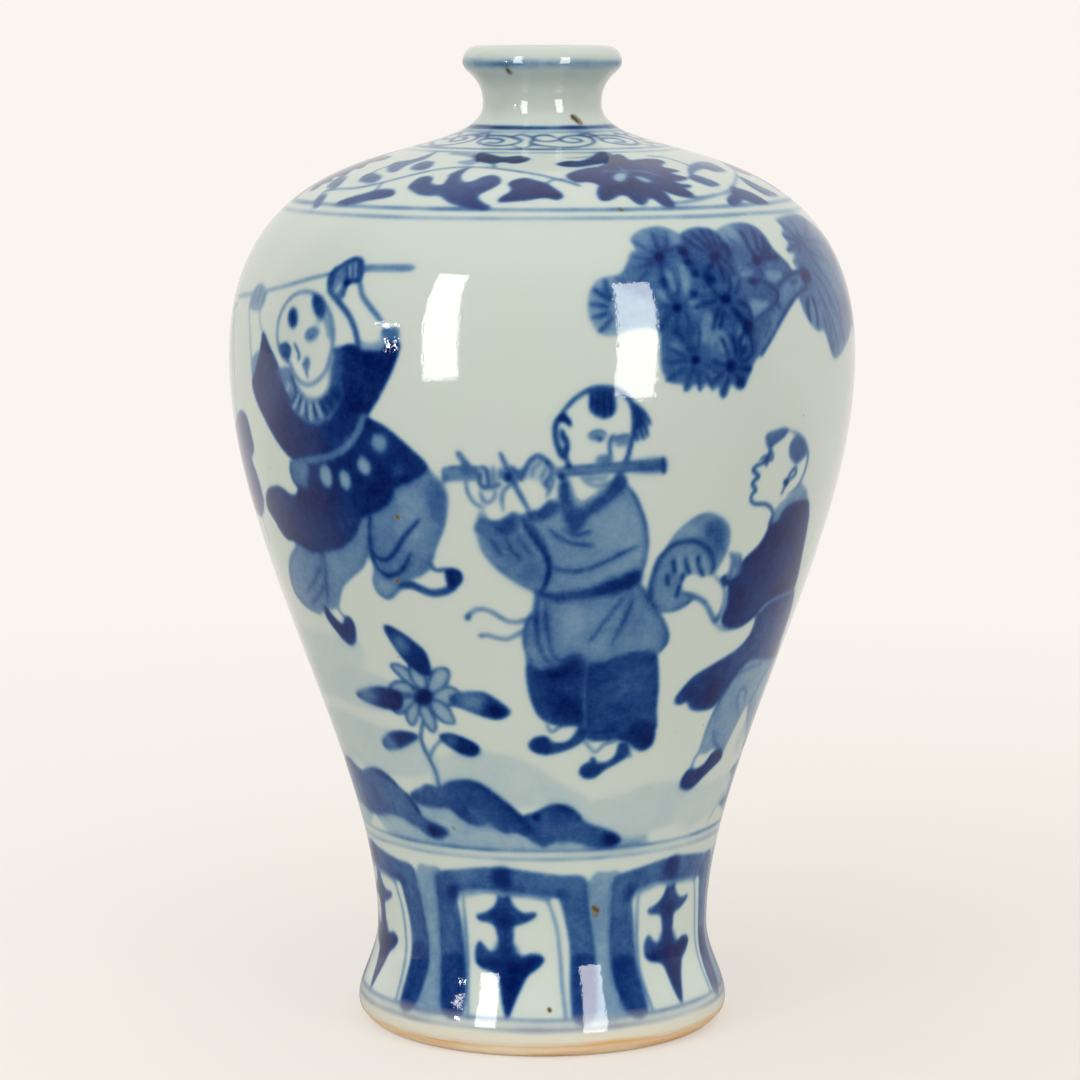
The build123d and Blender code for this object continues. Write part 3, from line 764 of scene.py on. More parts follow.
# A flower with pointed petals and five leaves, growing from the rock
FLOWER = {
    "stem": line(DEEP, 3.8, (424, 718), (421, 735), (424, 748), (430, 760), (436, 773), (440, 792),
        taper=0.2),
    "side stem": line(FULL, 3.4, (430, 757), (434, 748), (442, 739)),
    "petals": outlined(THIN, DEEP, 3.0,
        [(418, 690), (402, 678), (391, 666), (399, 665), (411, 673), (420, 684)],
        [(421, 690), (411, 678), (410, 665), (418, 666), (425, 676), (426, 690)],
        [(427, 692), (430, 678), (437, 669), (448, 670), (447, 682), (437, 692)],
        [(430, 697), (443, 688), (455, 689), (461, 698), (453, 705), (440, 703)],
        [(429, 700), (441, 702), (450, 711), (454, 723), (442, 721), (433, 711)],
        [(423, 703), (431, 711), (436, 726), (432, 732), (425, 723), (420, 711)],
        [(419, 701), (418, 714), (413, 725), (407, 719), (408, 706)],
        [(417, 699), (404, 712), (395, 712), (395, 704), (405, 697)],
        [(417, 695), (400, 693), (389, 690), (396, 682), (409, 684)]),
    "top leaf": wash(DARK, (383, 627), (388, 625), (396, 629), (406, 635), (416, 643), (425, 651),
        (429, 661), (431, 674), (423, 675), (414, 669), (404, 660), (396, 650), (389, 639)),
    "left leaf": wash(DARK, (356, 694), (366, 689), (378, 687), (390, 689), (400, 693), (403, 702),
        (398, 710), (385, 708), (372, 704), (362, 699)),
    "right leaf": wash(DEEP, (449, 697), (462, 692), (475, 691), (487, 693), (498, 700), (508, 708),
        (511, 713), (502, 719), (490, 719), (475, 714), (462, 709), (453, 705)),
    "right leaf tip": wash(BLACK, (488, 706), (499, 705), (509, 712), (500, 718), (491, 715), soft=0.9),
    "low left leaf": wash(DEEP, (382, 742), (386, 735), (395, 731), (406, 731), (416, 734), (418, 738),
        (408, 745), (398, 749), (387, 749)),
    "low left shade": wash(DARK, (392, 734), (405, 733), (413, 736), (404, 741), (393, 741), soft=0.7,
        pool=0),
    "low right leaf": wash(DARK, (439, 735), (450, 733), (462, 737), (473, 742), (480, 748), (477, 755),
        (468, 756), (456, 751), (445, 744)),
    "worn leaves": washes(MID, [(357, 694), (367, 690), (378, 692), (376, 702), (364, 699)],
        [(384, 743), (389, 736), (396, 738), (395, 747), (387, 748)],
        [(455, 698), (470, 694), (484, 698), (479, 709), (462, 706)],
        [(389, 631), (400, 637), (409, 647), (404, 653), (396, 644)],
        [(445, 738), (455, 738), (459, 745), (450, 745)], soft=1.5, pool=0),
    "eye": dab(BLACK, (424, 697), 16, 16, soft=0.6),
}

# Watery hills and dark rocks under the boys' feet
GROUND = {
    "high hill": wash(FAINT, (292, 618), (308, 628), (325, 640), (340, 652), (348, 664), (336, 671),
        (316, 661), (302, 644), soft=0.8),
    "left hills": washes(0.19,
        [(327, 673), (345, 665), (365, 669), (388, 680), (402, 692), (410, 706), (390, 712), (365, 709),
         (345, 702), (332, 692)],
        [(338, 710), (360, 717), (385, 727), (412, 738), (430, 748), (436, 762), (424, 777), (400, 777),
         (375, 770), (353, 756), (343, 738)], soft=0.8, pool=0.08),
    "middle hill": wash(0.20, (430, 764), (450, 753), (480, 750), (515, 756), (540, 768), (562, 783),
        (588, 798), (584, 808), (545, 806), (520, 808), (500, 800), (480, 788), (455, 784), (434, 784),
        soft=0.8, pool=0.08),
    "right hill": wash(0.19, (576, 808), (600, 798), (625, 792), (650, 783), (680, 780), (697, 789),
        (692, 810), (674, 825), (650, 832), (620, 836), (598, 828), (580, 818), soft=0.8, pool=0.08),
    "far hill": wash(FAINT, (690, 786), (712, 782), (730, 770), (728, 788), (714, 808), (698, 824),
        (684, 830), (674, 820), (686, 802), soft=0.8),
    "shore": wash(0.32, (372, 806), (390, 812), (410, 822), (430, 834), (452, 834), (466, 822), (490, 824),
        (512, 832), (535, 842), (560, 838), (590, 842), (620, 838), (648, 834), (640, 848), (600, 851),
        (550, 852), (500, 850), (440, 845), (400, 838), (382, 824), soft=0.8, pool=0.08),
    "hollow between the rocks": wash(THIN, (396, 796), (420, 800), (450, 808), (478, 824), (466, 836),
        (440, 836), (420, 824), soft=1.0, pool=0),
    "left rock": wash(0.66, (354, 776), (362, 770), (372, 767), (383, 771), (394, 781), (405, 791),
        (413, 799), (418, 811), (426, 819), (437, 824), (447, 829), (449, 834), (440, 839), (430, 837),
        (420, 829), (410, 823), (400, 817), (388, 814), (378, 815), (368, 806), (360, 795), (355, 784)),
    "middle rock": wash(0.76, (410, 794), (420, 788), (426, 784), (434, 786), (440, 787), (447, 782),
        (456, 780), (470, 780), (482, 784), (492, 791), (502, 799), (512, 807), (522, 817), (532, 828),
        (540, 838), (546, 848), (535, 843), (525, 837), (515, 833), (505, 833), (496, 829), (490, 823),
        (478, 826), (465, 821), (455, 813), (447, 808), (435, 807), (420, 804)),
    "right rock": wash(0.74, (523, 817), (535, 812), (545, 807), (555, 804), (567, 807), (577, 813),
        (583, 820), (593, 825), (606, 829), (616, 834), (621, 840), (612, 846), (600, 848), (588, 846),
        (575, 842), (560, 841), (548, 845), (541, 846), (532, 833)),
    "worn paint": washes(FULL, [(368, 776), (380, 778), (392, 790), (396, 802), (384, 806), (372, 796)],
        [(414, 794), (430, 789), (446, 792), (444, 802), (424, 803)],
        [(470, 806), (486, 808), (500, 822), (492, 826), (474, 820)],
        [(548, 826), (566, 824), (584, 832), (570, 839), (552, 838)], soft=1.8, pool=0),
    "wet edges": washes(BLACK, [(428, 824), (440, 828), (447, 833), (438, 837), (430, 834)],
        [(604, 833), (613, 835), (620, 840), (612, 845), (604, 843)], soft=0.9),
    "rock ridges": lines(DARK, 5.4, [(456, 782), (475, 784), (490, 793), (508, 807), (524, 822), (541, 841)],
        [(556, 806), (570, 810), (581, 820)], [(404, 793), (413, 803), (420, 815)],
        [(372, 769), (386, 776), (398, 787)]),
    "pebble": dab(DARK, (536, 817), 8, 7),
    "far slope": line(SOFT, 3.4, (706, 824), (715, 808), (726, 788), (737, 766)),
    "shore line": line(SOFT, 6.0, (606, 848), (622, 846), (640, 842)),
}

# A pine bough: overlapping fans of needles on a twisted branch
PINE = {
    "far needles": wash(0.59, (776, 219), (782, 227), (782, 236), (788, 242), (786, 252), (796, 253),
        (792, 262), (799, 269), (803, 277), (802, 287), (798, 294), (801, 304), (805, 315), (810, 322),
        (814, 327), (819, 331), (824, 331), (829, 346), (834, 359), (840, 355), (846, 345), (852, 322),
        (850, 297), (842, 271), (831, 246), (815, 226), (797, 214), soft=0.6, pool=0),
    "far needle lines": lines(DARK, 2.8, [(800, 241), (790, 231), (779, 220)],
        [(800, 241), (792, 239), (783, 236)], [(800, 242), (793, 247), (787, 251)], [(801, 244), (798, 254)],
        [(800, 239), (796, 228), (788, 218)], [(802, 240), (806, 230), (804, 219)],
        [(803, 242), (814, 240), (824, 244)], [(803, 244), (814, 254), (826, 262)],
        [(808, 252), (820, 270), (832, 288)], [(812, 246), (828, 262), (840, 290)],
        [(812, 270), (826, 290), (834, 318)], [(818, 268), (834, 292), (842, 325)],
        [(814, 282), (826, 310), (834, 350)], [(818, 292), (832, 320), (839, 352)],
        [(826, 290), (838, 318), (845, 344)], [(822, 312), (828, 332), (834, 356)]),
    "far eye": dab(FULL, (800, 242), 8, 7, soft=0.8),
    "low far tuft": wash(MID, (802, 296), (812, 294), (820, 306), (821, 330), (815, 329), (808, 320),
        (803, 308)),
    "low far needles": lines(BLACK, 4.6, [(812, 297), (816, 308), (818, 326)],
        [(808, 298), (808, 310), (811, 321)], taper=0.3),
    "left lobe": wash(0.42, (617, 276), (607, 276), (598, 279), (591, 287), (588, 297), (587, 308),
        (589, 319), (595, 330), (603, 336), (615, 336), (632, 330), (650, 328), (662, 332), (662, 300),
        (640, 290), (628, 280), pool=0.05),
    "left needles": lines(DEEP, 4.2, [(613, 300), (607, 289), (605, 279)],
        [(611, 302), (600, 294), (593, 289)], [(610, 307), (598, 305), (589, 304)],
        [(610, 312), (600, 316), (591, 318)], [(613, 316), (606, 326), (599, 332)]),
    "left shade": dab(FULL, (607, 291), 7, 12, -15, soft=0.9),
    "upper left lobe": wash(0.58, (612, 278), (621, 273), (627, 262), (630, 252), (636, 250), (630, 240),
        (637, 232), (646, 228), (657, 226), (668, 228), (679, 234), (690, 250), (690, 280), (670, 300),
        (650, 300), (630, 290), pool=0.05),
    "middle mass": wash(0.68, (655, 285), (672, 270), (690, 262), (735, 262), (770, 262), (790, 268),
        (797, 285), (786, 305), (776, 325), (768, 342), (760, 355), (753, 366), (749, 378), (743, 389),
        (737, 390), (731, 384), (727, 396), (721, 397), (719, 386), (713, 391), (706, 384), (701, 391),
        (695, 384), (688, 392), (682, 384), (672, 384), (664, 376), (660, 360), (660, 330), pool=0.05),
    "upper middle lobe": wash(0.69, (679, 236), (688, 229), (698, 227), (709, 228), (718, 233), (727, 243),
        (733, 254), (730, 270), (712, 276), (692, 266), (680, 252)),
    "upper right lobe": wash(0.63, (716, 233), (722, 227), (733, 223), (747, 223), (758, 228), (766, 237),
        (772, 247), (781, 256), (790, 266), (788, 274), (760, 272), (738, 266), (728, 250)),
    "pale lobes": washes(0.45, [(631, 240), (638, 233), (648, 229), (652, 240), (648, 248), (640, 246)],
        [(719, 230), (728, 226), (736, 228), (737, 240), (728, 243), (721, 238)],
        [(668, 230), (677, 235), (682, 243), (676, 248), (670, 242)], soft=1.1, pool=0),
    "pale gaps": washes(0.47, [(666, 261), (673, 270), (678, 285), (674, 293), (669, 282), (664, 270)],
        [(679, 262), (687, 268), (690, 284), (685, 297), (681, 282)],
        [(659, 287), (665, 292), (668, 303), (662, 301), (657, 295)],
        [(689, 300), (698, 301), (702, 310), (694, 313)],
        [(704, 309), (712, 316), (709, 331), (704, 345), (701, 334), (703, 320)],
        [(713, 318), (720, 322), (717, 337), (712, 351), (710, 336)],
        [(719, 330), (726, 334), (728, 348), (722, 353), (718, 342)],
        [(738, 325), (745, 332), (744, 346), (739, 340)],
        [(752, 300), (762, 300), (770, 302), (762, 311), (754, 317), (750, 308)],
        [(765, 271), (775, 270), (783, 274), (777, 282), (768, 280)],
        [(738, 266), (750, 268), (752, 276), (742, 276)],
        [(675, 342), (682, 350), (684, 355), (675, 352), (669, 346)], soft=0.5, pool=0),
    "upper left needles": lines(DEEP, 3.8, [(658, 256), (646, 249), (633, 241)],
        [(659, 254), (656, 244), (651, 232)], [(664, 252), (667, 242), (665, 231)],
        [(663, 255), (672, 249), (681, 246)], [(655, 258), (644, 258), (631, 257)],
        [(656, 260), (645, 266), (632, 271)], [(656, 262), (646, 273), (638, 283)],
        [(662, 261), (672, 270), (677, 284), (679, 299)], [(660, 262), (662, 272), (661, 283)]),
    "upper middle needles": lines(BLACK, 4.0, [(683, 238), (693, 244), (706, 252)],
        [(690, 231), (700, 240), (710, 250)], [(699, 229), (707, 239), (713, 249)],
        [(708, 230), (714, 240), (717, 250)], [(717, 235), (722, 244), (721, 252)],
        [(723, 242), (728, 250), (728, 258)], [(714, 262), (708, 270), (703, 278)],
        [(718, 262), (722, 272), (725, 284)], [(722, 258), (730, 266), (735, 276)]),
    "upper right needles": lines(BLACK, 5.0, [(740, 230), (747, 242), (754, 255)],
        [(752, 229), (756, 240), (758, 252)], [(761, 235), (764, 246), (761, 254)],
        [(769, 245), (767, 253), (762, 258)], [(779, 257), (771, 257), (763, 259)], taper=0.6),
    "thin needles": lines(DEEP, 3.0, [(726, 236), (736, 244), (748, 254)],
        [(731, 247), (741, 252), (750, 258)], [(757, 264), (761, 272), (766, 280)],
        [(760, 264), (769, 268), (779, 270)], [(753, 262), (745, 268), (738, 272)],
        [(752, 297), (762, 298), (771, 299)]),
    "middle left needles": lines(DARK, 3.6, [(664, 280), (669, 292), (674, 302)],
        [(676, 300), (679, 290), (680, 280)], [(684, 304), (690, 298), (697, 292)], [(670, 308), (662, 304)],
        [(672, 313), (664, 322), (661, 332)], [(678, 314), (677, 326), (675, 337)],
        [(684, 312), (690, 322), (694, 335)]),
    "middle needles": lines(BLACK, 3.8, [(728, 294), (730, 284), (729, 273)],
        [(735, 296), (738, 288), (740, 279)], [(719, 296), (712, 288), (705, 281)],
        [(717, 301), (708, 303), (699, 305)], [(720, 306), (716, 318), (713, 331)],
        [(731, 306), (736, 314), (743, 322)], [(737, 303), (744, 304), (749, 308), (752, 319)],
        [(724, 309), (722, 320), (719, 329)], [(746, 322), (739, 314), (734, 309)],
        [(750, 333), (752, 343), (753, 353)], [(744, 332), (740, 342), (741, 352)]),
    "lower left needles": lines(DARK, 4.0, [(675, 329), (685, 342), (692, 353)],
        [(686, 325), (690, 338), (695, 352)], [(700, 329), (699, 342), (697, 352)],
        [(665, 346), (677, 352), (688, 358)], [(662, 362), (676, 362), (688, 361)],
        [(666, 381), (677, 373), (688, 366)], [(685, 391), (689, 380), (693, 368)],
        [(700, 391), (699, 380), (697, 368)], [(713, 390), (708, 378), (702, 367)],
        [(717, 372), (709, 367), (703, 363)]),
    "lower right needles": lines(BLACK, 4.0, [(731, 335), (736, 348), (735, 358)],
        [(721, 337), (726, 348), (729, 358)], [(746, 345), (742, 354), (737, 361)],
        [(754, 352), (748, 358), (740, 364)], [(751, 368), (743, 369), (738, 367)],
        [(743, 387), (739, 379), (735, 372)], [(723, 398), (726, 386), (729, 374)],
        [(712, 384), (718, 377), (725, 370)], [(712, 360), (720, 364), (726, 366)]),
    "needle fans": fans(DEEP, 2.6, 17, 11, (660, 257), (715, 256), (757, 260), (677, 308), (725, 299),
        (696, 360), (730, 366)),
    "dark touches": lambda sheet: paint_spots(sheet, PINE_TOUCHES),
    "branch": wash(MID, (777, 286), (786, 278), (796, 271), (806, 269), (811, 277), (808, 287), (798, 295),
        (789, 307), (781, 321), (773, 336), (766, 348), (761, 355), (757, 350), (764, 336), (770, 322),
        (775, 310), (778, 298), soft=0.5),
    "branch end": wash(DARK, (801, 271), (806, 269), (811, 277), (807, 284), (803, 281), soft=0.9),
    "branch outlines": lines(BLACK, 3.4, [(804, 270), (793, 273), (784, 280), (777, 287)],
        [(807, 287), (797, 295), (788, 308), (780, 322), (772, 337), (765, 349), (761, 356)],
        [(777, 289), (778, 298), (773, 306), (765, 312), (756, 320)],
        [(752, 281), (762, 281), (770, 285), (777, 291)], taper=0.3),
    "branch grain": lines(DARK, 3.0, [(775, 302), (782, 309)], [(772, 317), (769, 327), (764, 338)],
        [(790, 284), (798, 280)]),
}

# Dark touches in the pine where the brush rested: strength, middle, width, height and lean
PINE_TOUCHES = (
    (BLACK, (659, 257), 9, 8, 0),
    (BLACK, (715, 256), 11, 10, 0),
    (BLACK, (757, 260), 10, 9, 0),
    (BLACK, (677, 308), 10, 9, 0),
    (BLACK, (726, 299), 11, 9, 0),
    (BLACK, (696, 360), 9, 8, 0),
    (BLACK, (731, 366), 10, 14, 0),
    (DARK, (748, 327), 10, 14, 0),
    (DARK, (753, 281), 9, 8, 0),
    (DARK, (683, 251), 10, 8, 30),
    (DARK, (688, 262), 9, 7, 30),
    (DARK, (696, 273), 8, 8, 0),
    (DARK, (710, 279), 11, 9, 0),
    (DEEP, (664, 283), 7, 16, -15),
    (DARK, (694, 294), 9, 8, 30),
    (DEEP, (697, 307), 8, 5, 0),
    (DARK, (748, 369), 9, 8, 0),
    (DARK, (741, 383), 10, 10, 0),
    (DEEP, (744, 350), 7, 9, 20),
    (DEEP, (723, 393), 8, 10, 0),
)

# A bag that hangs from the staff, round at the left
HANGING_BAG = {
    "bag": wash(DEEP, (239, 412), (246, 415), (251, 433), (254, 449), (252, 459), (257, 474), (262, 492),
        (264, 505), (262, 516), (255, 508), (248, 485), (241, 460), (236, 436)),
    "tassel": line(SOFT, 3.2, (262, 518), (267, 531), (270, 544)),
}

# Flowers and lobed leaves on a winding stem, between the ringed lines of the shoulder
SHOULDER_SCROLL = {
    "winding stem": line(FULL, 3.4, (314, 206), (318, 197), (326, 191), (338, 189), (356, 188), (376, 184),
        (396, 179), (416, 174), (440, 169), (465, 167), (490, 168), (515, 171), (540, 175), (556, 179),
        (568, 182), (580, 186), taper=0.2),
    "far stem": line(MID, 4.0, (668, 203), (685, 202), (702, 199), (720, 194), (730, 190), (735, 182),
        (734, 170), taper=0.2),
    "twigs": lines(FULL, 3.2, [(376, 191), (380, 185), (385, 182)], [(545, 184), (553, 180), (564, 179)],
        [(448, 176), (458, 171), (472, 167)], [(493, 163), (495, 168)], [(686, 197), (702, 197), (716, 194)],
        [(370, 174), (380, 169), (392, 165)], [(645, 156), (662, 157), (680, 162), (692, 167)]),
    "far left bud": wash(FULL, (327, 187), (333, 181), (342, 176), (347, 177), (342, 183), (335, 188)),
    "end leaf": wash(FULL, (313, 206), (317, 199), (323, 194), (327, 195), (322, 203), (317, 208)),
    "left bud": wash(FULL, (359, 181), (363, 176), (370, 173), (378, 174), (382, 177), (378, 181),
        (369, 183)),
    "left leaf": wash(DEEP, (336, 203), (345, 199), (355, 196), (366, 193), (376, 190), (386, 189),
        (394, 190), (394, 195), (385, 198), (372, 200), (358, 203), (345, 205)),
    "upper leaf": wash(FULL, (388, 172), (388, 167), (396, 162), (410, 160), (424, 156), (438, 151),
        (428, 158), (416, 162), (404, 167), (396, 172)),
    "upper bud": wash(FULL, (410, 168), (416, 164), (425, 161), (434, 162), (431, 167), (422, 170),
        (413, 170)),
    "lobed leaf": wash(DEEP, (408, 187), (414, 181), (421, 177), (430, 176), (433, 179), (431, 182),
        (436, 185), (444, 184), (447, 179), (453, 174), (462, 170), (471, 167), (463, 173), (461, 178),
        (465, 182), (473, 181), (482, 177), (492, 175), (499, 177), (501, 182), (495, 187), (487, 191),
        (480, 194), (478, 198), (484, 203), (491, 207), (487, 211), (478, 210), (470, 209), (460, 206),
        (450, 203), (444, 199), (439, 196), (430, 196), (420, 195), (412, 191)),
    "lobed leaf vein": line(DARK, 2.6, (430, 187), (455, 190), (480, 188), (494, 182)),
    "front leaf": wash(DARK, (497, 202), (503, 196), (510, 192), (511, 188), (508, 184), (514, 180),
        (525, 178), (535, 180), (545, 183), (553, 187), (561, 193), (563, 197), (557, 200), (548, 198),
        (540, 198), (530, 200), (518, 201), (505, 202)),
    "pale collar leaves": washes(SOFT, [(447, 154), (460, 152), (476, 154), (474, 158), (462, 156)],
        [(456, 162), (466, 160), (478, 160), (476, 164), (464, 165)]),
    "collar leaf": wash(BLACK, (474, 156), (479, 153), (490, 154.5), (502, 157), (512, 156.5), (522, 156),
        (530, 159), (522, 162.5), (512, 163.5), (503, 162), (492, 163.5), (482, 162), (475, 160)),
    "right collar leaf": wash(DARK, (556, 164), (568, 161), (580, 161), (590, 158), (596, 154), (603, 151.5),
        (611, 154), (612, 159), (605, 162.5), (592, 165), (578, 167), (564, 166.5)),
    "right collar streak": line(MID, 3.0, (565, 158), (580, 157.5), (597, 156)),
    "peony": wash(0.90, (566, 176), (575, 171), (590, 168), (602, 166), (608, 161), (613, 156), (619, 154),
        (625, 157), (630, 160), (642, 159), (656, 159), (665, 162), (661, 166), (672, 169), (680, 171),
        (670, 173), (677, 175), (688, 178), (680, 181), (673, 181), (681, 184), (692, 185), (688, 188),
        (680, 187), (687, 190), (694, 195), (685, 197), (675, 195), (664, 191), (656, 188), (663, 192),
        (669, 198), (675, 206), (668, 207), (660, 204), (652, 198), (648, 200), (645, 204), (640, 205),
        (633, 201), (627, 196), (620, 195), (613, 199), (606, 201), (600, 200), (597, 193), (600, 187),
        (597, 184), (588, 182), (576, 182)),
    "peony shade": wash(DARK, (600, 187), (620, 186), (640, 187), (660, 190), (672, 202), (662, 203),
        (650, 196), (640, 203), (628, 194), (612, 197), (601, 198), soft=0.6, pool=0),
    "peony lights": washes(PALE, [(613, 177), (618, 173), (626, 174), (625, 180), (618, 182)],
        [(634, 176), (642, 177), (652, 181), (644, 182)]),
    "peony petals": lines(MID, 2.8, [(600, 171), (620, 171), (640, 171), (662, 176)],
        [(618, 166), (626, 172), (634, 177)], over=True),
    "peony veins": lines(BLACK, 3.0, [(598, 188), (622, 189), (648, 194), (671, 204)],
        [(630, 171), (632, 180), (627, 186)]),
    "right leaves": washes(FULL,
        [(688, 167), (697, 162), (708, 162), (718, 166), (726, 171), (716, 172), (705, 169), (697, 171),
         (690, 176)],
        [(688, 176), (696, 175), (706, 178), (716, 182), (720, 185), (712, 187), (702, 184), (692, 180)],
        [(739, 176), (750, 181), (762, 187), (778, 195), (768, 196), (756, 190), (745, 183)]),
    "split leaf": wash(DEEP, (727, 199), (732, 193), (731, 187), (738, 188), (748, 191), (758, 196),
        (768, 203), (760, 205), (750, 202), (743, 200), (739, 204), (730, 205)),
}

# One turn of the curling line round the foot of the neck
CURLING_LINE = {
    "left curl": line(BLACK, 3.2, (478, 136.5), (492, 135.5), (505, 136), (515, 138), (521, 140.5),
        (516, 143.5), (505, 145.5), (490, 145.5), (480, 143.5), (479.5, 140.5), (488, 138.5), (499, 139),
        (503, 141), (497, 143), (487, 142.5), taper=0.2),
    "join": line(DARK, 2.8, (511, 136.5), (520, 134.8), (528, 136), (534, 138.5), (531, 142), (534, 145),
        (545, 146.5)),
    "low join": line(DEEP, 2.6, (512, 145), (520, 148), (528, 147), (532, 143.5)),
    "small curl": line(BLACK, 3.0, (556, 137.5), (547, 135.2), (536, 136), (533, 138.5), (540, 141),
        (550, 141.5), (560, 139.5)),
    "right curl": line(BLACK, 3.2, (531, 143), (545, 146), (560, 147.2), (576, 147), (589, 145),
        (594, 141.5), (591, 138), (583, 136), (573, 135.6), (563, 137.3), (560, 139.8), (567, 142.3),
        (576, 142.5), (582, 140.8), (578, 139), (571, 138.6), taper=0.2),
    "next join": line(DARK, 2.8, (578, 134.8), (588, 133.8), (596, 136), (600, 139)),
}

# The pale bar between two panels of the foot
FOOT_BAR = {
    "bar": wash(SOFT, (417, 866), (428, 865), (441, 870), (443, 900), (446, 940), (448, 975), (448, 1012),
        (412, 1010), (414, 970), (416, 940), (416, 900), pool=0.05),
}

# One panel of the foot: a dark frame, thin inner lines and a hanging double-leaf motif
FOOT_PANEL = {
    "frame": wash(0.65, (436, 873), (460, 869), (485, 867), (507, 868), (530, 871), (560, 875), (585, 877),
        (588, 900), (591, 930), (595, 960), (595, 1018), (573, 1020), (571, 960), (568, 930), (563, 905),
        (559, 897), (530, 893), (507, 891), (480, 888), (459, 890), (454, 897), (457, 915), (462, 940),
        (463, 975), (462, 1016), (442, 1012), (442, 970), (440, 930), (437, 895)),
    "frame edges": lines(DEEP, 3.2, [(584, 880), (589, 920), (594, 960), (593, 1016)],
        [(460, 889), (480, 887), (507, 890), (535, 893), (560, 897)],
        [(454, 895), (459, 918), (463, 950), (462, 1012)], [(438, 876), (441, 930), (443, 970), (443, 1010)],
        [(561, 899), (569, 930), (572, 960), (574, 1016)], taper=0.1),
    "frame middle": wash(DARK, (496, 869), (508, 868), (510, 878), (510, 889), (502, 888), (492, 880),
        soft=1.1, pool=0),
    "frame corners": washes(DARK, [(448, 887), (460, 886), (459, 896), (452, 902)],
        [(555, 890), (566, 892), (568, 902), (560, 898)], soft=1.2, pool=0),
    # Painted shade: below a level line round the foot the glaze shows a darker reflection, painted here as
    # deeper cobalt on the frame
    "painted shade at the frame foot": washes(0.84, [(442, 958), (463, 959), (462, 1014), (443, 1011)],
        [(572, 960), (595, 960), (594, 1016), (575, 1018)], soft=0.3, pool=0),
    "inner band": line(SOFT, 6.0, (465, 895), (485, 891), (510, 894), (535, 897), (548, 900), taper=0.1),
    "inner lines": lines(0.62, 3.2, [(463, 897), (466, 930), (468, 975), (468, 1019)],
        [(547, 899), (556, 925), (560, 955), (562, 985), (566, 1019)],
        [(462, 893), (480, 888), (507, 892), (530, 894), (550, 898)], taper=0.1),
    "motif": wash(0.76, (476, 914), (483, 913), (492, 908), (496, 902), (498, 895), (503, 898), (508, 895),
        (512, 902), (517, 909), (525, 913), (536, 912), (537, 916), (530, 921), (520, 925), (513, 926),
        (514, 935), (513, 949), (522, 956), (532, 953), (541, 955), (544, 960), (538, 968), (528, 975),
        (524, 983), (518, 995), (512, 1008), (507, 1019), (503, 1008), (501, 995), (500, 980), (496, 974),
        (488, 970), (480, 967), (475, 957), (476, 946), (480, 940), (485, 946), (490, 951), (499, 949),
        (497, 935), (494, 925), (486, 922), (478, 920)),
    # Painted shade: the motif is painted deeper below the same level line, for the glaze's darker reflection
    # there
    "painted shade at the motif foot": wash(BLACK, (476, 959), (500, 959), (522, 959), (544, 958), (538, 968), (526, 978),
        (516, 999), (507, 1018), (501, 990), (496, 974), (482, 968), soft=0.3, pool=0),
    "motif shade": washes(DARK, [(494, 918), (505, 913), (514, 919), (512, 928), (498, 927)],
        [(500, 940), (513, 945), (520, 955), (496, 956)], soft=1.4, pool=0),
    "motif waist": line(DARK, 3.4, (500, 922), (505, 926), (511, 921)),
}

# Ringed lines at the lip, the neck, the shoulder, the waist and the foot
RINGED_LINES = {
    "lip wash": ring(THIN, 57.5, 70.0, 20),
    "lip": ring(0.56, 61.0, 66.5, 21),
    "neck": ring(BLACK, 126.0, 129.8, 22, waver=0.1),
    "under the neck": ring(MID, 131.2, 133.4, 23, waver=0.1),
    "collar": ring(FULL, 148.4, 150.4, 24, waver=0.1),
    "under the collar": ring(MID, 151.9, 153.8, 25, waver=0.1),
    "shoulder": ring(0.62, 207.8, 212.4, 26),
    "under the shoulder": ring(0.47, 216.8, 221.6, 27),
    "waist": ring(0.62, 848.6, 852.8, 28),
    "under the waist": ring(THIN, 855.6, 857.4, 29),
    "low waist": ring(0.52, 858.8, 862.0, 30),
    "foot": ring(0.66, 1018.6, 1023.2, 31),
    "low foot": ring(FULL, 1028.6, 1033.6, 32),
    "between the foot rings": ring(FAINT, 1023.0, 1029.0, 33),
}

# Specks of iron that came up through the glaze in firing
RUST = {
    "lip fleck": speck(0.45, 1.8, (506, 63), (507, 68)),
    "lip speck halo": speck(0.4, 5.0, (508, 70), (510, 73)),
    "lip speck": speck(0.8, 2.6, (507, 69), (509, 72)),
    "neck speck halo": speck(0.42, 6.6, (573, 117), (577, 120), (580, 123)),
    "neck speck": speck(0.95, 3.2, (572, 116), (575, 119), (578, 122)),
    "bar speck halo": speck(0.35, 5.4, (594, 907), (596, 911), (595, 916)),
    "bar speck": speck(0.8, 3.6, (593, 907), (595, 909), (598, 911)),
    "foot speck": speck(0.7, 2.8, (549, 1009), (550, 1011)),
    "thigh speck": speck(0.7, 2.8, (397, 516), (398, 518)),
    "knee speck": speck(0.7, 2.8, (397, 580), (398, 582)),
    "rock speck": speck(0.5, 1.6, (453, 827), (454, 829)),
    "ring speck": speck(0.7, 3.0, (619, 209), (622, 210)),
}


def paint_spots(sheet, spots):
    """Round touches of the brush, painted in order."""
    for tone, middle, width, tall, lean in spots:
        sheet.dab(tone, middle, width, tall, lean)


def paint_strokes(sheet, *motifs, turn=0.0, mirror=False):
    """Motifs painted in order, on the vase turned by degrees and mirrored or not."""
    sheet.turn, sheet.mirror = turn, mirror
    for motif in motifs:
        for stroke in motif.values():
            stroke(sheet)
    sheet.turn, sheet.mirror = 0.0, False


# Parts of the motifs that are painted again, further round the vase
FAR_LOBE_NAMES = ("left lobe", "left needles", "upper left lobe", "upper left needles")
FAR_LOBES = {name: PINE[name] for name in FAR_LOBE_NAMES}
NEAR_PINE = {name: stroke for name, stroke in PINE.items() if "far" not in name}
SIDE_PEONY = {name: stroke for name, stroke in SHOULDER_SCROLL.items() if "peony" in name}

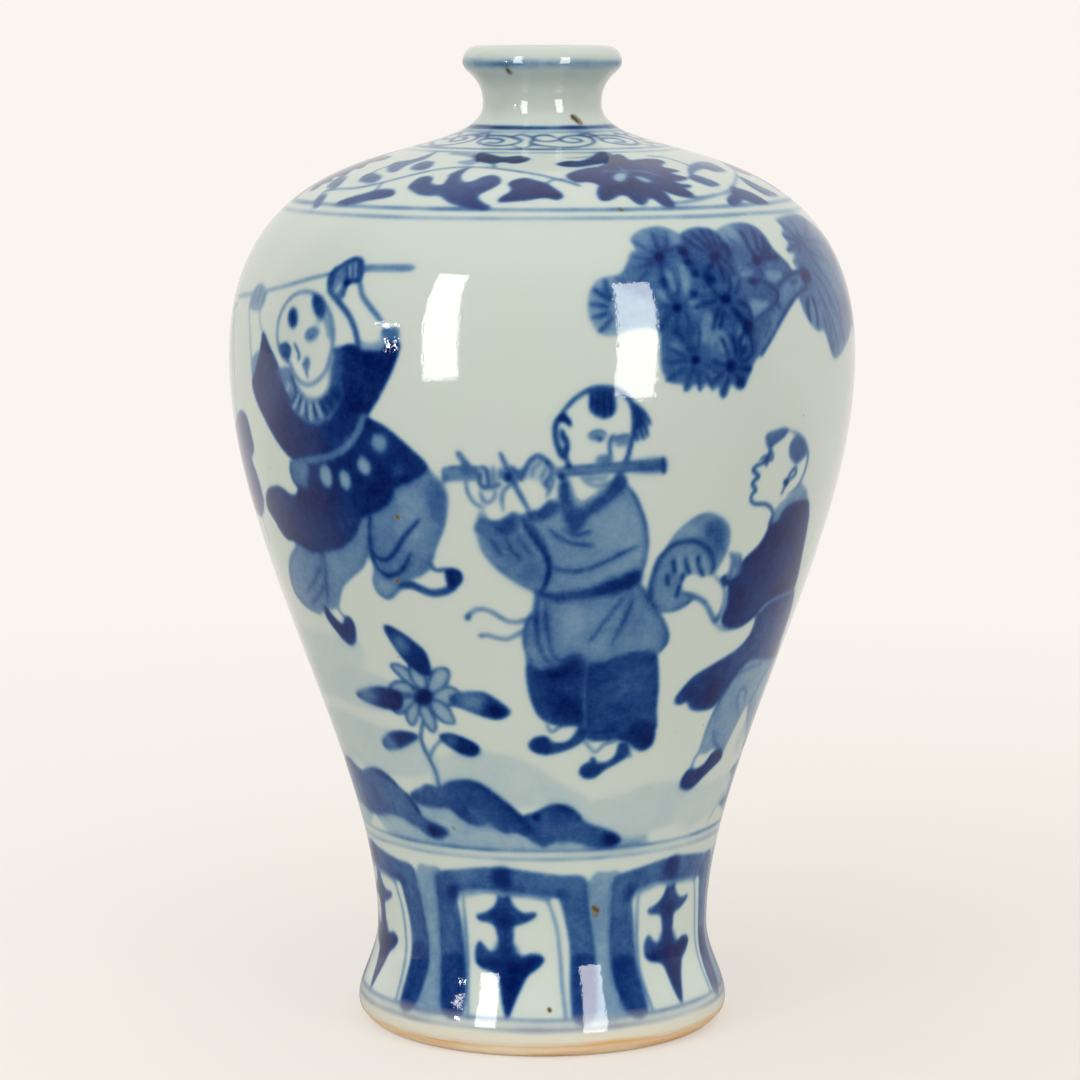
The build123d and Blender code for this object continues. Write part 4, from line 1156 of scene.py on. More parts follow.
# The bag's cord and the end of the staff that it hangs from, which the front view does not show
BAG_CORD = {
    "staff end": line(SOFT, 5.0, (346, 318), (334, 320), (322, 323), taper=0.2),
    "cord": lines(MID, 2.8, [(333, 318), (338, 350), (342, 390), (344, 432)],
        [(337, 318), (348, 360), (352, 400), (350, 434)], taper=0.1),
}

# The far side of the pine and the drummer's back foot, just round the vase from the front view
FAR_FANS = {
    "far fans": fans(DARK, 3.0, 23, 12, (596, 274), (634, 292), (590, 322), (622, 336)),
}
BACK_SHOE = {
    "back shoe": wash(DARK, (666, 750), (678, 750), (685, 756), (682, 764), (670, 767), (658, 772),
        (647, 771), (650, 764), (660, 759)),
}

# Where the motifs of the back and the sides stand, in degrees round from the front
FAR_PINE = 68
CORD_TURN = -40
SHOE_TURN = 46
PEONY_TURNS = (-112, 68)
BACK_PLAYERS = -125
BACK_STAFF_BOY = 178
BACK_ROCKS = (135, 195)

# How many times the bands repeat round the vase
SCROLL_COUNT = 2
PANEL_COUNT = 6
CURL_COUNT = 5


def around(count):
    """Even turns round the vase in degrees."""
    return range(0, 360, 360 // count)


def paint_vase(sheet):
    """The whole painting: the scene all round, then the bands and the rust."""
    flute_player = (FLUTE_BOY, FLUTE_HEAD, FLUTE_AND_HANDS)
    for turn in BACK_ROCKS:
        paint_strokes(sheet, GROUND, turn=turn)
    paint_strokes(sheet, GROUND, NEAR_PINE, DRUM_BOY, *flute_player, turn=BACK_PLAYERS, mirror=True)
    paint_strokes(sheet, STAFF_BOY, turn=BACK_STAFF_BOY)
    paint_strokes(sheet, FAR_LOBES, turn=FAR_PINE)
    paint_strokes(sheet, BAG_CORD, turn=CORD_TURN)
    paint_strokes(sheet, GROUND, FLOWER, HANGING_BAG, PINE, DRUM_BOY, STAFF_BOY, *flute_player)
    paint_strokes(sheet, FAR_FANS, turn=FAR_PINE)
    paint_strokes(sheet, BACK_SHOE, turn=SHOE_TURN)
    for turn in around(SCROLL_COUNT):
        paint_strokes(sheet, SHOULDER_SCROLL, turn=turn)
    for turn in PEONY_TURNS:
        paint_strokes(sheet, SIDE_PEONY, turn=turn)
    for motif in (FOOT_BAR, FOOT_PANEL):
        for turn in around(PANEL_COUNT):
            paint_strokes(sheet, motif, turn=turn)
    for turn in around(CURL_COUNT):
        paint_strokes(sheet, CURLING_LINE, turn=turn)
    paint_strokes(sheet, RINGED_LINES, RUST)


# The glaze wall and its panels

MILLIMETRE = 0.001

# In millimetres: the step along the wall, the gap between its knots and the depth of the lip's crest
WALL_STEP = 0.05
KNOT_GAP = 0.8
CREST = 0.005

# How far a normal leans out on the outside, and how close to a straight blend the paint of a large face lies
FACES_OUT = 0.05
EVEN_TONE = 0.03


def wall_outline():
    """Radius and height up the outside of the glaze in millimetres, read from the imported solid."""
    mesh = frame["nodes"]["outer_glaze"].data
    count = len(mesh.vertices)
    places, normals = np.empty(3 * count), np.empty(3 * count)
    mesh.vertices.foreach_get("co", places)
    mesh.vertices.foreach_get("normal", normals)
    places, normals = places.reshape(-1, 3) / MILLIMETRE, normals.reshape(-1, 3)
    radius, height = np.hypot(places[:, 0], places[:, 1]), places[:, 2]
    outward = (places[:, :2] * normals[:, :2]).sum(1) / radius
    outside = np.nonzero((outward > FACES_OUT) | (height > height.max() - CREST))[0]
    outside = outside[np.argsort(height[outside])]
    radius, height = radius[outside], height[outside]
    climb = np.concatenate([[0], np.cumsum(np.hypot(np.diff(radius), np.diff(height)))])
    kept = np.unique(np.floor(climb / KNOT_GAP), return_index=True)[1]
    if climb[-1] - climb[kept[-1]] < KNOT_GAP / 2:
        kept = kept[:-1]
    kept = np.append(kept, len(climb) - 1)
    radius, height = radius[kept], height[kept]
    knots = np.concatenate([[0], np.cumsum(np.hypot(np.diff(radius), np.diff(height)))])
    arc = np.arange(0, knots[-1], WALL_STEP)
    return smooth_curve(knots, radius, arc), smooth_curve(knots, height, arc)


def smooth_curve(knots, values, at):
    """Values between knots on a curve of even bending."""
    gap = np.diff(knots)
    bend = np.diag(2 * (gap[:-1] + gap[1:])) + np.diag(gap[1:-1], 1) + np.diag(gap[1:-1], -1)
    slope = np.diff(values) / gap
    second = np.concatenate([[0], np.linalg.solve(bend, 6 * np.diff(slope)), [0]])
    i = np.clip(np.searchsorted(knots, at, side="right") - 1, 0, len(gap) - 1)
    before, after, wide = at - knots[i], knots[i + 1] - at, gap[i]
    return (
        (second[i] * after**3 + second[i + 1] * before**3) / (6 * wide)
        + (values[i] / wide - second[i] * wide / 6) * after
        + (values[i + 1] / wide - second[i + 1] * wide / 6) * before
    )


def even_blocks(tone, size):
    """Whether the paint in each square block of cells is close to a straight blend of its corners."""
    windows = sliding_window_view(tone, (size + 1, size + 1))[::size, ::size]
    share = np.linspace(0, 1, size + 1)
    low = windows[..., :1, :1] * (1 - share) + windows[..., :1, -1:] * share
    high = windows[..., -1:, :1] * (1 - share) + windows[..., -1:, -1:] * share
    blend = low * (1 - share)[:, None] + high * share[:, None]
    even = np.abs(windows - blend).max((-1, -2)) < EVEN_TONE
    even[[0, -1]] = False
    even[:, [0, -1]] = False
    return even


def all_around(flags):
    """Whether a block and its eight neighbours are all flagged."""
    rows, columns = flags.shape
    padded = np.pad(flags, 1, constant_values=True)
    return np.all([padded[i : i + rows, j : j + columns] for i in range(3) for j in range(3)], axis=0)


def paint_blocks(tone, coarsest):
    """Lower row, left column and size of the blocks: large where the paint is even, small at its edges."""
    joined = np.ones((tone.shape[0] - 1, tone.shape[1] - 1), bool)
    size, found = 1, []
    while size < coarsest:
        whole = joined.reshape(joined.shape[0] // 2, 2, joined.shape[1] // 2, 2).all((1, 3))
        larger = whole & even_blocks(tone, 2 * size) & all_around(whole)
        row, column = np.nonzero(joined & ~larger.repeat(2, 0).repeat(2, 1))
        found.append((row * size, column * size, np.full(len(row), size)))
        joined = larger
        size *= 2
    row, column = np.nonzero(joined)
    found.append((row * size, column * size, np.full(len(row), size)))
    return np.hstack(found)


def glaze_panel(name, turns, arcs, cells, coarsest, material):
    """A panel of the glaze between two azimuths and two distances up the wall, with its paint."""
    columns, rows = cells
    angle = np.radians(np.linspace(*turns, columns + 1))
    arc = np.linspace(*arcs, rows + 1)
    tone, iron = sheet.read("cobalt", angle, arc), sheet.read("iron", angle, arc)
    row, column, size = paint_blocks(tone + iron, coarsest)
    half = size // 2
    corner_rows = np.column_stack([row, row, row, row + half, row + size, row + size, row + size, row + half])
    corner_columns = np.column_stack(
        [column, column + half, column + size, column + size, column + size, column + half, column, column]
    )
    used = np.zeros(tone.shape, bool)
    used[corner_rows[:, ::2], corner_columns[:, ::2]] = True
    taken = used[corner_rows, corner_columns]
    taken[:, 1::2] &= (size > 1)[:, None]
    number = np.cumsum(used).reshape(used.shape) - 1
    loops = number[corner_rows, corner_columns][taken]
    starts = np.concatenate([[0], np.cumsum(taken.sum(1))[:-1]])

    point_row, point_column = np.nonzero(used)
    radius, height = np.interp(arc, sheet.arc, sheet.radius), np.interp(arc, sheet.arc, sheet.height)
    rise, run = np.gradient(sheet.height, sheet.arc), np.gradient(sheet.radius, sheet.arc)
    lean_out, lean_up = np.interp(arc, sheet.arc, rise), -np.interp(arc, sheet.arc, run)
    east, south = np.sin(angle)[point_column], -np.cos(angle)[point_column]
    places = np.column_stack([radius[point_row] * east, radius[point_row] * south, height[point_row]])
    normals = np.column_stack([lean_out[point_row] * east, lean_out[point_row] * south, lean_up[point_row]])
    normals /= np.linalg.norm(normals, axis=1, keepdims=True)

    mesh = bpy.data.meshes.new(name)
    mesh.vertices.add(len(places))
    mesh.vertices.foreach_set("co", (places * MILLIMETRE).ravel())
    mesh.loops.add(len(loops))
    mesh.loops.foreach_set("vertex_index", loops)
    mesh.polygons.add(len(starts))
    mesh.polygons.foreach_set("loop_start", starts)
    mesh.update(calc_edges=True)
    mesh.validate()
    for title, values in (("cobalt", tone), ("iron", iron)):
        attribute = mesh.attributes.new(title, "FLOAT", "POINT")
        attribute.data.foreach_set("value", values[used].astype(np.float32))
    spread = np.column_stack([point_column / columns, point_row / rows])
    mesh.uv_layers.new(name="OFBake").data.foreach_set("uv", spread[loops].ravel())
    mesh.polygons.foreach_set("use_smooth", np.ones(len(starts), bool))
    mesh.normals_split_custom_set_from_vertices(normals)
    mesh.materials.append(material)
    panel = bpy.data.objects.new(name, mesh)
    bpy.context.scene.collection.objects.link(panel)
    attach(panel, "root")
    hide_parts("outer_glaze")
    return panel


# Finishes

# Colours of the glaze, its pools and its pinholes
GLAZE_WHITE = (0.600, 0.660, 0.628)
GREEN_POOLS = (0.93, 1.0, 0.93)
CLEAR_POOLS = (0.545, 0.625, 0.535)
PINHOLE_SHADE = (0.45, 0.40, 0.30)
PINHOLE_BROWN = (0.40, 0.34, 0.24)
GLAZE_IOR = 1.5

# How much red, green and blue the cobalt takes, its greatest depth and the strengths where its colour is set
COBALT_DEPTH = (3.15, 2.06, 0.91)
DEEPEST = 2.15
COBALT_STOPS = (0.0, 0.12, 0.24, 0.36, 0.48, 0.60, 0.72, 0.84, 1.0)

# Colours of the rust, the kiln's flush and the clay
IRON_OCHRE = (0.17, 0.135, 0.065)
IRON_BROWN = (0.055, 0.036, 0.018)
KILN_ORANGE = (0.74, 0.43, 0.18)
CLAY_BUFF = (0.90, 0.76, 0.56)
CLAY_WHITE = (0.72, 0.68, 0.60)
CLAY_GRAIN = (0.86, 0.82, 0.78)
FOOT_CREAM = (0.78, 0.71, 0.57)

# Shares of the pools, the pinholes and the grain in the colour
GREEN_SHARE = 0.35
SHADE_SHARE = 0.5
BROWN_SHARE = 0.6
GRAIN_SHARE = 0.35

# Strength and depth in metres of the bumps
GLAZE_BUMP = (0.20, 0.0008)
CLAY_BUMP = (0.35, 0.0003)

# Heights in metres between which the orange edge and the warm tint above it fade, and the edge's waver
EDGE_FADE = (0.0026, 0.0038)
WARM_FADE = (0.006, 0.013)
EDGE_WAVER = 0.0026
EDGE_ROUGHNESS = 0.4
WARM_SHARE = 0.6


def node_at(tree, kind, **settings):
    """A node of a kind with its properties set."""
    node = tree.nodes.new(kind)
    for key, value in settings.items():
        setattr(node, key, value)
    return node


def feed(tree, node, **inputs):
    """Fills a node's inputs, by name with low lines for spaces, from values or other nodes' outputs."""
    for key, value in inputs.items():
        socket = node.inputs[int(key[1:])] if key[0] == "_" else node.inputs[key.replace("_", " ")]
        if isinstance(value, bpy.types.NodeSocket):
            tree.links.new(value, socket)
        else:
            socket.default_value = value
    return node


def noise(tree, place, scale, detail=2.0, roughness=0.5):
    """Noise of a scale per metre."""
    node = node_at(tree, "ShaderNodeTexNoise")
    feed(tree, node, Vector=place, Scale=scale, Detail=detail, Roughness=roughness)
    return node.outputs["Fac"]


def spread(tree, value, low, high, to_low=0.0, to_high=1.0):
    """A value moved from one span to another, held at the ends."""
    node = node_at(tree, "ShaderNodeMapRange", clamp=True)
    feed(tree, node, Value=value, From_Min=low, From_Max=high, To_Min=to_low, To_Max=to_high)
    return node.outputs["Result"]


def sum_of(tree, first, second, how="ADD"):
    """Two values put together."""
    return feed(tree, node_at(tree, "ShaderNodeMath", operation=how), _0=first, _1=second).outputs["Value"]


def scaled(tree, value, by):
    """A value times another."""
    return sum_of(tree, value, by, "MULTIPLY")


def own_place(tree):
    """Where a point lies on its own object, in metres."""
    return node_at(tree, "ShaderNodeTexCoord").outputs["Object"]


def seen_straight(tree, seen):
    """Whether the camera sees a point itself and not in a reflection."""
    return sum_of(tree, seen.outputs["Is Camera Ray"], seen.outputs["Is Transmission Ray"], "MAXIMUM")


def mixed(tree, share, first, second, how="MIX"):
    """Two colours put together."""
    node = node_at(tree, "ShaderNodeMix", data_type="RGBA", blend_type=how)
    feed(tree, node, Factor=share)
    for index, value in ((6, first), (7, second)):
        socket = node.inputs[index]
        if isinstance(value, bpy.types.NodeSocket):
            tree.links.new(value, socket)
        else:
            socket.default_value = (*value, 1.0)
    return node.outputs[2]


def new_group(name, inputs, outputs):
    """An empty shader group with named value sockets."""
    group = bpy.data.node_groups.new(name, "ShaderNodeTree")
    for title, value in inputs.items():
        group.interface.new_socket(title, in_out="INPUT", socket_type="NodeSocketFloat").default_value = value
    for title in outputs:
        group.interface.new_socket(title, in_out="OUTPUT", socket_type="NodeSocketFloat")
    return group, node_at(group, "NodeGroupInput").outputs, node_at(group, "NodeGroupOutput").inputs


def gloss_glaze_group():
    """Slow pooling, fine pinholes and the gentle ripple of a fired glaze."""
    shown = ("Pooling", "Pinholes", "Roughness", "Height")
    group, given, result = new_group("Gloss Glaze", {"Ripple": 1.0}, shown)
    place = own_place(group)
    group.links.new(spread(group, noise(group, place, scale=22.0, detail=3.0), 0.3, 0.7), result["Pooling"])
    specks = node_at(group, "ShaderNodeTexVoronoi", feature="F1")
    feed(group, specks, Vector=place, Scale=210.0, Randomness=1.0)
    near = spread(group, specks.outputs["Distance"], 0.05, 0.10, 1.0, 0.0)
    rare = spread(group, noise(group, place, scale=75.0, detail=1.0), 0.62, 0.68)
    pinholes = scaled(group, near, rare)
    group.links.new(pinholes, result["Pinholes"])
    sheen = spread(group, noise(group, place, scale=60.0, detail=3.0), 0.25, 0.75, 0.02, 0.055)
    group.links.new(sheen, result["Roughness"])
    slow = noise(group, place, scale=46.0, detail=1.0)
    fine = scaled(group, noise(group, place, scale=420.0, detail=2.0), 0.05)
    peel = scaled(group, noise(group, place, scale=1000.0, detail=1.0), 0.08)
    ripple = scaled(group, sum_of(group, slow, sum_of(group, fine, peel)), given["Ripple"])
    height = sum_of(group, ripple, scaled(group, pinholes, 0.15), "SUBTRACT")
    group.links.new(height, result["Height"])
    return group


def fired_clay_group():
    """Grain, throwing marks and kiln flush of bare clay."""
    group, given, result = new_group("Fired Clay", {"Flush": 0.5}, ("Flush", "Grain", "Height"))
    place = own_place(group)
    along = node_at(group, "ShaderNodeVectorMath", operation="MULTIPLY")
    feed(group, along, _0=place, _1=(1.0, 1.0, 9.0))
    cloud = spread(group, noise(group, along.outputs["Vector"], scale=34.0, detail=4.0), 0.40, 0.66)
    group.links.new(scaled(group, cloud, given["Flush"]), result["Flush"])
    grain = noise(group, place, scale=900.0, detail=4.0, roughness=0.65)
    group.links.new(spread(group, grain, 0.3, 0.7), result["Grain"])
    group.links.new(grain, result["Height"])
    return group


def new_finish(name):
    """A material with one Principled shader, and its tree and shader."""
    material = bpy.data.materials.new(name)
    material.use_nodes = True
    tree = material.node_tree
    return material, tree, tree.nodes["Principled BSDF"]


def set_bump(tree, shader, height, strength, distance):
    """Feeds a height into the shader's normal."""
    bump = feed(tree, node_at(tree, "ShaderNodeBump"), Height=height, Strength=strength, Distance=distance)
    tree.links.new(bump.outputs["Normal"], shader.inputs["Normal"])


def cobalt_colour(tone):
    """The colour of the glaze over cobalt of a strength, by the light that is left after passing it twice."""
    depth = DEEPEST * tone**2
    return tuple(white * np.exp(-depth * takes) for white, takes in zip(GLAZE_WHITE, COBALT_DEPTH))


def cobalt_ramp(tree, strength):
    """The glaze's colour over cobalt of a strength that changes over the surface."""
    ramp = node_at(tree, "ShaderNodeValToRGB")
    while len(ramp.color_ramp.elements) < len(COBALT_STOPS):
        ramp.color_ramp.elements.new(0.5)
    for element, stop in zip(ramp.color_ramp.elements, COBALT_STOPS):
        element.position = stop
        element.color = (*cobalt_colour(stop), 1.0)
    return feed(tree, ramp, Fac=strength).outputs["Color"]


def painted_glaze():
    """Clear glaze over the cobalt painting, with rust specks and an orange edge at the foot."""
    material, tree, shader = new_finish("painted_glaze")
    skin = node_at(tree, "ShaderNodeGroup", node_tree=groups["glaze"])
    place = own_place(tree)
    cobalt = node_at(tree, "ShaderNodeAttribute", attribute_name="cobalt").outputs["Fac"]
    iron = node_at(tree, "ShaderNodeAttribute", attribute_name="iron").outputs["Fac"]
    grain = noise(tree, place, scale=420.0, detail=5.0, roughness=0.7)
    streaks = spread(tree, grain, 0.25, 0.75, 0.90, 1.10)
    pools = spread(tree, noise(tree, place, scale=95.0, detail=2.0), 0.3, 0.7, 0.97, 1.03)
    blue = cobalt_ramp(tree, scaled(tree, cobalt, scaled(tree, streaks, pools)))
    pooling = scaled(tree, skin.outputs["Pooling"], GREEN_SHARE)
    greener = mixed(tree, pooling, blue, GREEN_POOLS, "MULTIPLY")
    ochre = mixed(tree, spread(tree, iron, 0.0, 0.5), greener, IRON_OCHRE)
    rusty = mixed(tree, spread(tree, iron, 0.5, 1.0), ochre, IRON_BROWN)
    pinholes = scaled(tree, skin.outputs["Pinholes"], SHADE_SHARE)
    pitted = mixed(tree, pinholes, rusty, PINHOLE_SHADE, "MULTIPLY")
    height = feed(tree, node_at(tree, "ShaderNodeSeparateXYZ"), Vector=place).outputs["Z"]
    waver = scaled(tree, noise(tree, place, scale=55.0, detail=3.0), EDGE_WAVER)
    edge = spread(tree, sum_of(tree, height, waver, "SUBTRACT"), *EDGE_FADE, 1.0, 0.0)
    warm = mixed(tree, spread(tree, height, *WARM_FADE, WARM_SHARE, 0.0), pitted, FOOT_CREAM)
    toasted = spread(tree, noise(tree, place, scale=48.0, detail=3.0), 0.42, 0.60, 0.35, 1.0)
    fired = mixed(tree, scaled(tree, edge, toasted), warm, KILN_ORANGE)
    tree.links.new(fired, shader.inputs["Base Color"])
    rough = sum_of(tree, skin.outputs["Roughness"], scaled(tree, edge, EDGE_ROUGHNESS))
    tree.links.new(rough, shader.inputs["Roughness"])
    shader.inputs["IOR"].default_value = GLAZE_IOR
    set_bump(tree, shader, skin.outputs["Height"], *GLAZE_BUMP)
    return material


def clear_glaze():
    """Clear glaze over white clay, inside the mouth and on the base."""
    material, tree, shader = new_finish("clear_glaze")
    skin = node_at(tree, "ShaderNodeGroup", node_tree=groups["glaze"])
    pooled = mixed(tree, skin.outputs["Pooling"], GLAZE_WHITE, CLEAR_POOLS)
    pitted = mixed(tree, scaled(tree, skin.outputs["Pinholes"], BROWN_SHARE), pooled, PINHOLE_BROWN)
    tree.links.new(pitted, shader.inputs["Base Color"])
    tree.links.new(skin.outputs["Roughness"], shader.inputs["Roughness"])
    set_bump(tree, shader, skin.outputs["Height"], *GLAZE_BUMP)
    return material


def bare_clay(name, pale, flushed, flush, rough):
    """Unglazed fired clay, with an orange kiln flush."""
    material, tree, shader = new_finish(name)
    clay = feed(tree, node_at(tree, "ShaderNodeGroup", node_tree=groups["clay"]), Flush=flush)
    warm = mixed(tree, clay.outputs["Flush"], pale, flushed)
    grained = mixed(tree, scaled(tree, clay.outputs["Grain"], GRAIN_SHARE), warm, CLAY_GRAIN, "MULTIPLY")
    tree.links.new(grained, shader.inputs["Base Color"])
    shader.inputs["Roughness"].default_value = rough
    set_bump(tree, shader, clay.outputs["Height"], *CLAY_BUMP)
    return material


# Stage, lamps and camera

TABLE_RADIUS = 6.0
TABLE_SIDES = 96
PAPER = (0.83, 0.80, 0.745)
PAPER_FLECK = (0.80, 0.77, 0.70)
FLECK_SHARE = 0.03
FAR_PAPER = (0.25, 0.24, 0.22)
PAPER_GLOW = (0.955, 0.910, 0.868)
PAPER_ROUGHNESS = 0.9
PAPER_SHEEN = 0.1

# Distances from the axis in metres between which the paper fades into the glow and into the unlit floor
GLOW_FADE = (0.12, 0.76)
FLOOR_FADE = (0.30, 0.88)

# The share of glow in the near paper, at the left and at the right, and where it changes
GLOW_SHARES = (0.66, 0.36)
SIDE_SPAN = (-0.20, 0.10)

# How bright the paper is in the gloss of the glaze, from front to back, and where it changes
PAPER_SHINE_FRONT = 0.03
PAPER_SHINE_SIDES = 0.42
PAPER_SHINE_BACK = 0.95
FRONT_SPAN = (-0.11, 0.0)
BACK_SPAN = (0.02, 0.45)


def paper_finish():
    """Pale paper, which fades into the pale room all round."""
    material, tree, shader = new_finish("paper")
    place = own_place(tree)
    fibre = spread(tree, noise(tree, place, scale=180.0, detail=4.0), 0.3, 0.7)
    radius = feed(tree, node_at(tree, "ShaderNodeVectorMath", operation="LENGTH"), _0=place).outputs["Value"]
    paper = mixed(tree, scaled(tree, fibre, FLECK_SHARE), PAPER, PAPER_FLECK)
    seen = node_at(tree, "ShaderNodeLightPath")
    direct = seen_straight(tree, seen)
    unlit = scaled(tree, spread(tree, radius, *FLOOR_FADE), sum_of(tree, 1.0, direct, "SUBTRACT"))
    tree.links.new(mixed(tree, unlit, paper, FAR_PAPER), shader.inputs["Base Color"])
    shader.inputs["Roughness"].default_value = PAPER_ROUGHNESS
    shader.inputs["Specular IOR Level"].default_value = PAPER_SHEEN
    axes = feed(tree, node_at(tree, "ShaderNodeSeparateXYZ"), Vector=place).outputs
    shine = spread(tree, axes["Y"], *FRONT_SPAN, PAPER_SHINE_FRONT, PAPER_SHINE_SIDES)
    shine = spread(tree, axes["Y"], *BACK_SPAN, shine, PAPER_SHINE_BACK)
    near = spread(tree, axes["X"], *SIDE_SPAN, *GLOW_SHARES)
    even = spread(tree, radius, *GLOW_FADE, near, 1.0)
    glossy = seen.outputs["Is Glossy Ray"]
    level = sum_of(tree, direct, scaled(tree, glossy, shine))
    share = sum_of(tree, scaled(tree, direct, even), glossy)
    glow = feed(tree, node_at(tree, "ShaderNodeEmission"), Color=(*PAPER_GLOW, 1.0), Strength=level)
    blend = node_at(tree, "ShaderNodeMixShader")
    feed(tree, blend, _0=share, _1=shader.outputs["BSDF"], _2=glow.outputs["Emission"])
    tree.links.new(blend.outputs["Shader"], tree.nodes["Material Output"].inputs["Surface"])
    return material


def paper_table():
    """A wide round sheet of paper under the vase."""
    turns = np.linspace(0, 2 * np.pi, TABLE_SIDES, endpoint=False)
    points = [(TABLE_RADIUS * np.cos(turn), TABLE_RADIUS * np.sin(turn), 0.0) for turn in turns]
    mesh = bpy.data.meshes.new("paper_table")
    mesh.from_pydata(points, [], [tuple(range(TABLE_SIDES))])
    mesh.materials.append(paper_finish())
    table = bpy.data.objects.new("paper_table", mesh)
    bpy.context.scene.collection.objects.link(table)


# Lamps, in metres and degrees
LAMP_WHITE = (1.0, 0.985, 0.96)
LAMP_GAP = 0.01
HOOD_DISTANCE = 1.15

# The bright spots of a far lamp's hood that the gloss shows: turn, bottom, top, width, lean and glow
HOOD_GLINTS = (
    (-60.0, 0.474, 0.494, 0.062, -16.0, 15.0),
    (-56.8, 0.458, 0.486, 0.075, 0.0, 17.0),
    (-53.6, 0.474, 0.492, 0.062, 16.0, 13.0),
    (-55.6, 0.352, 0.364, 0.020, 0.0, 60.0),
    (-52.2, 0.356, 0.366, 0.014, 0.0, 60.0),
    (-54.8, 0.312, 0.330, 0.018, 0.0, 90.0),
    (-52.4, 0.316, 0.332, 0.020, 0.0, 90.0),
    (-51.4, 0.306, 0.314, 0.012, 0.0, 60.0),
    (-56.2, 0.282, 0.290, 0.012, 0.0, 40.0),
    (-53.8, 0.286, 0.294, 0.012, 0.0, 30.0),
)


def soft_lamp(name, turn, distance, low, high, width, lean, glow):
    """A soft lamp that faces the vase's axis and leans a little to one side."""
    lamp = bpy.data.lights.new(name, "AREA")
    lamp.shape = "RECTANGLE"
    lamp.size, lamp.size_y = width, high - low
    lamp.energy = glow * np.pi * width * (high - low)
    lamp.color = LAMP_WHITE
    holder = bpy.data.objects.new(name, lamp)
    turn = np.radians(turn)
    holder.location = (distance * np.sin(turn), -distance * np.cos(turn), (low + high) / 2)
    holder.rotation_euler = (np.pi / 2, np.radians(lean), turn)
    bpy.context.scene.collection.objects.link(holder)
    return holder


def softbox(name, distance, glow, shine, **place):
    """A soft lamp, with a further glow that only the gloss of the glaze shows."""
    soft_lamp(name, distance=distance, glow=glow, **place)
    soft_lamp(f"{name}_shine", distance=distance - LAMP_GAP, glow=shine, **place).visible_diffuse = False


# Colours and brightness of the room
ROOM_PALE = (0.93, 0.905, 0.86)
ROOM_DARK = (0.03, 0.03, 0.032)
ROOM_LIGHT = 0.99
ROOM_OVERHEAD = 0.84
ROOM_FRONT = 0.78
ROOM_SHINE_SIDES = 0.38
ROOM_SHINE_BACK = 0.95

# Parts of a direction along an axis between which one zone of the room turns into the next
CAMERA_WALL = (-0.50, -0.30)
LEFT_WALL = (0.25, 0.60)
RIGHT_WALL = (-0.18, -0.04)
BACK_WALL = (-0.10, 0.45)
LEFT_TO_RIGHT = (-0.1, 0.1)
LOW_WALLS = (0.12, 0.36)
HIGH_WALLS = (0.62, 0.85)
CEILING = (0.3, 0.9)


def studio_room():
    """Pale walls and ceiling round the vase, and a dark room on the camera's side."""
    world = bpy.data.worlds.new("studio_room")
    world.use_nodes = True
    tree = world.node_tree
    place = node_at(tree, "ShaderNodeTexCoord").outputs["Generated"]
    axes = feed(tree, node_at(tree, "ShaderNodeSeparateXYZ"), Vector=place).outputs
    seen = node_at(tree, "ShaderNodeLightPath")
    glossy = seen.outputs["Is Glossy Ray"]
    front = spread(tree, axes["Y"], *CAMERA_WALL, 1.0, 0.0)
    low = spread(tree, axes["Z"], *LOW_WALLS, 1.0, 0.0)
    below = spread(tree, axes["Z"], *HIGH_WALLS, 1.0, 0.0)
    right = spread(tree, axes["Y"], *RIGHT_WALL, 1.0, 0.0)
    left = spread(tree, axes["Y"], *LEFT_WALL, 1.0, 0.0)
    beside = spread(tree, axes["X"], *LEFT_TO_RIGHT, left, right)
    unlit = scaled(tree, front, low)
    dull = scaled(tree, beside, below)
    room = mixed(tree, spread(tree, glossy, 0.0, 1.0, unlit, dull), ROOM_PALE, ROOM_DARK)
    direct = seen_straight(tree, seen)
    backdrop = mixed(tree, direct, room, PAPER_GLOW)
    light = spread(tree, axes["Z"], *CEILING, ROOM_LIGHT, ROOM_OVERHEAD)
    light = sum_of(tree, light, scaled(tree, front, ROOM_FRONT))
    level = spread(tree, direct, 0.0, 1.0, light, 1.0)
    shine = spread(tree, axes["Y"], *BACK_WALL, ROOM_SHINE_SIDES, ROOM_SHINE_BACK)
    level = spread(tree, glossy, 0.0, 1.0, level, shine)
    feed(tree, tree.nodes["Background"], Color=backdrop, Strength=level)
    bpy.context.scene.world = world


SENSOR_WIDTH = 36.0


def view_camera():
    """The camera of the front view that the strokes are placed in."""
    lens = bpy.data.cameras.new("front_view")
    lens.sensor_width = SENSOR_WIDTH
    lens.lens = SENSOR_WIDTH * VIEW_FOCAL / VIEW_SIZE
    lens.shift_x = (VIEW_SIZE / 2 - VIEW_AXIS) / VIEW_SIZE
    camera = bpy.data.objects.new("front_view", lens)
    camera.location = (0, -EYE_DISTANCE * MILLIMETRE, EYE_HEIGHT * MILLIMETRE)
    camera.rotation_euler = (np.pi / 2 - EYE_PITCH, 0, 0)
    bpy.context.scene.collection.objects.link(camera)
    bpy.context.scene.camera = camera


# Assembly

# Heights in the front view where the bands of the painting meet
WAIST = 855.2
SHOULDER = 214.8
COLLAR = 151.2

# Panels of the glaze: cells across and up, the largest block of cells, and the edges of a panel in degrees
SCENE_CELLS = (640, 592)
SHOULDER_CELLS = (640, 256)
BROAD_BLOCK = 16
NECK_CELLS = (320, 208)
NECK_BLOCK = 4
LAPPET_CELLS = (224, 192)
LAPPET_BLOCK = 8
BAND_PANELS = 3
BAND_EDGES = (-60, 60)
LAPPET_EDGES = (-41.6, 18.4)

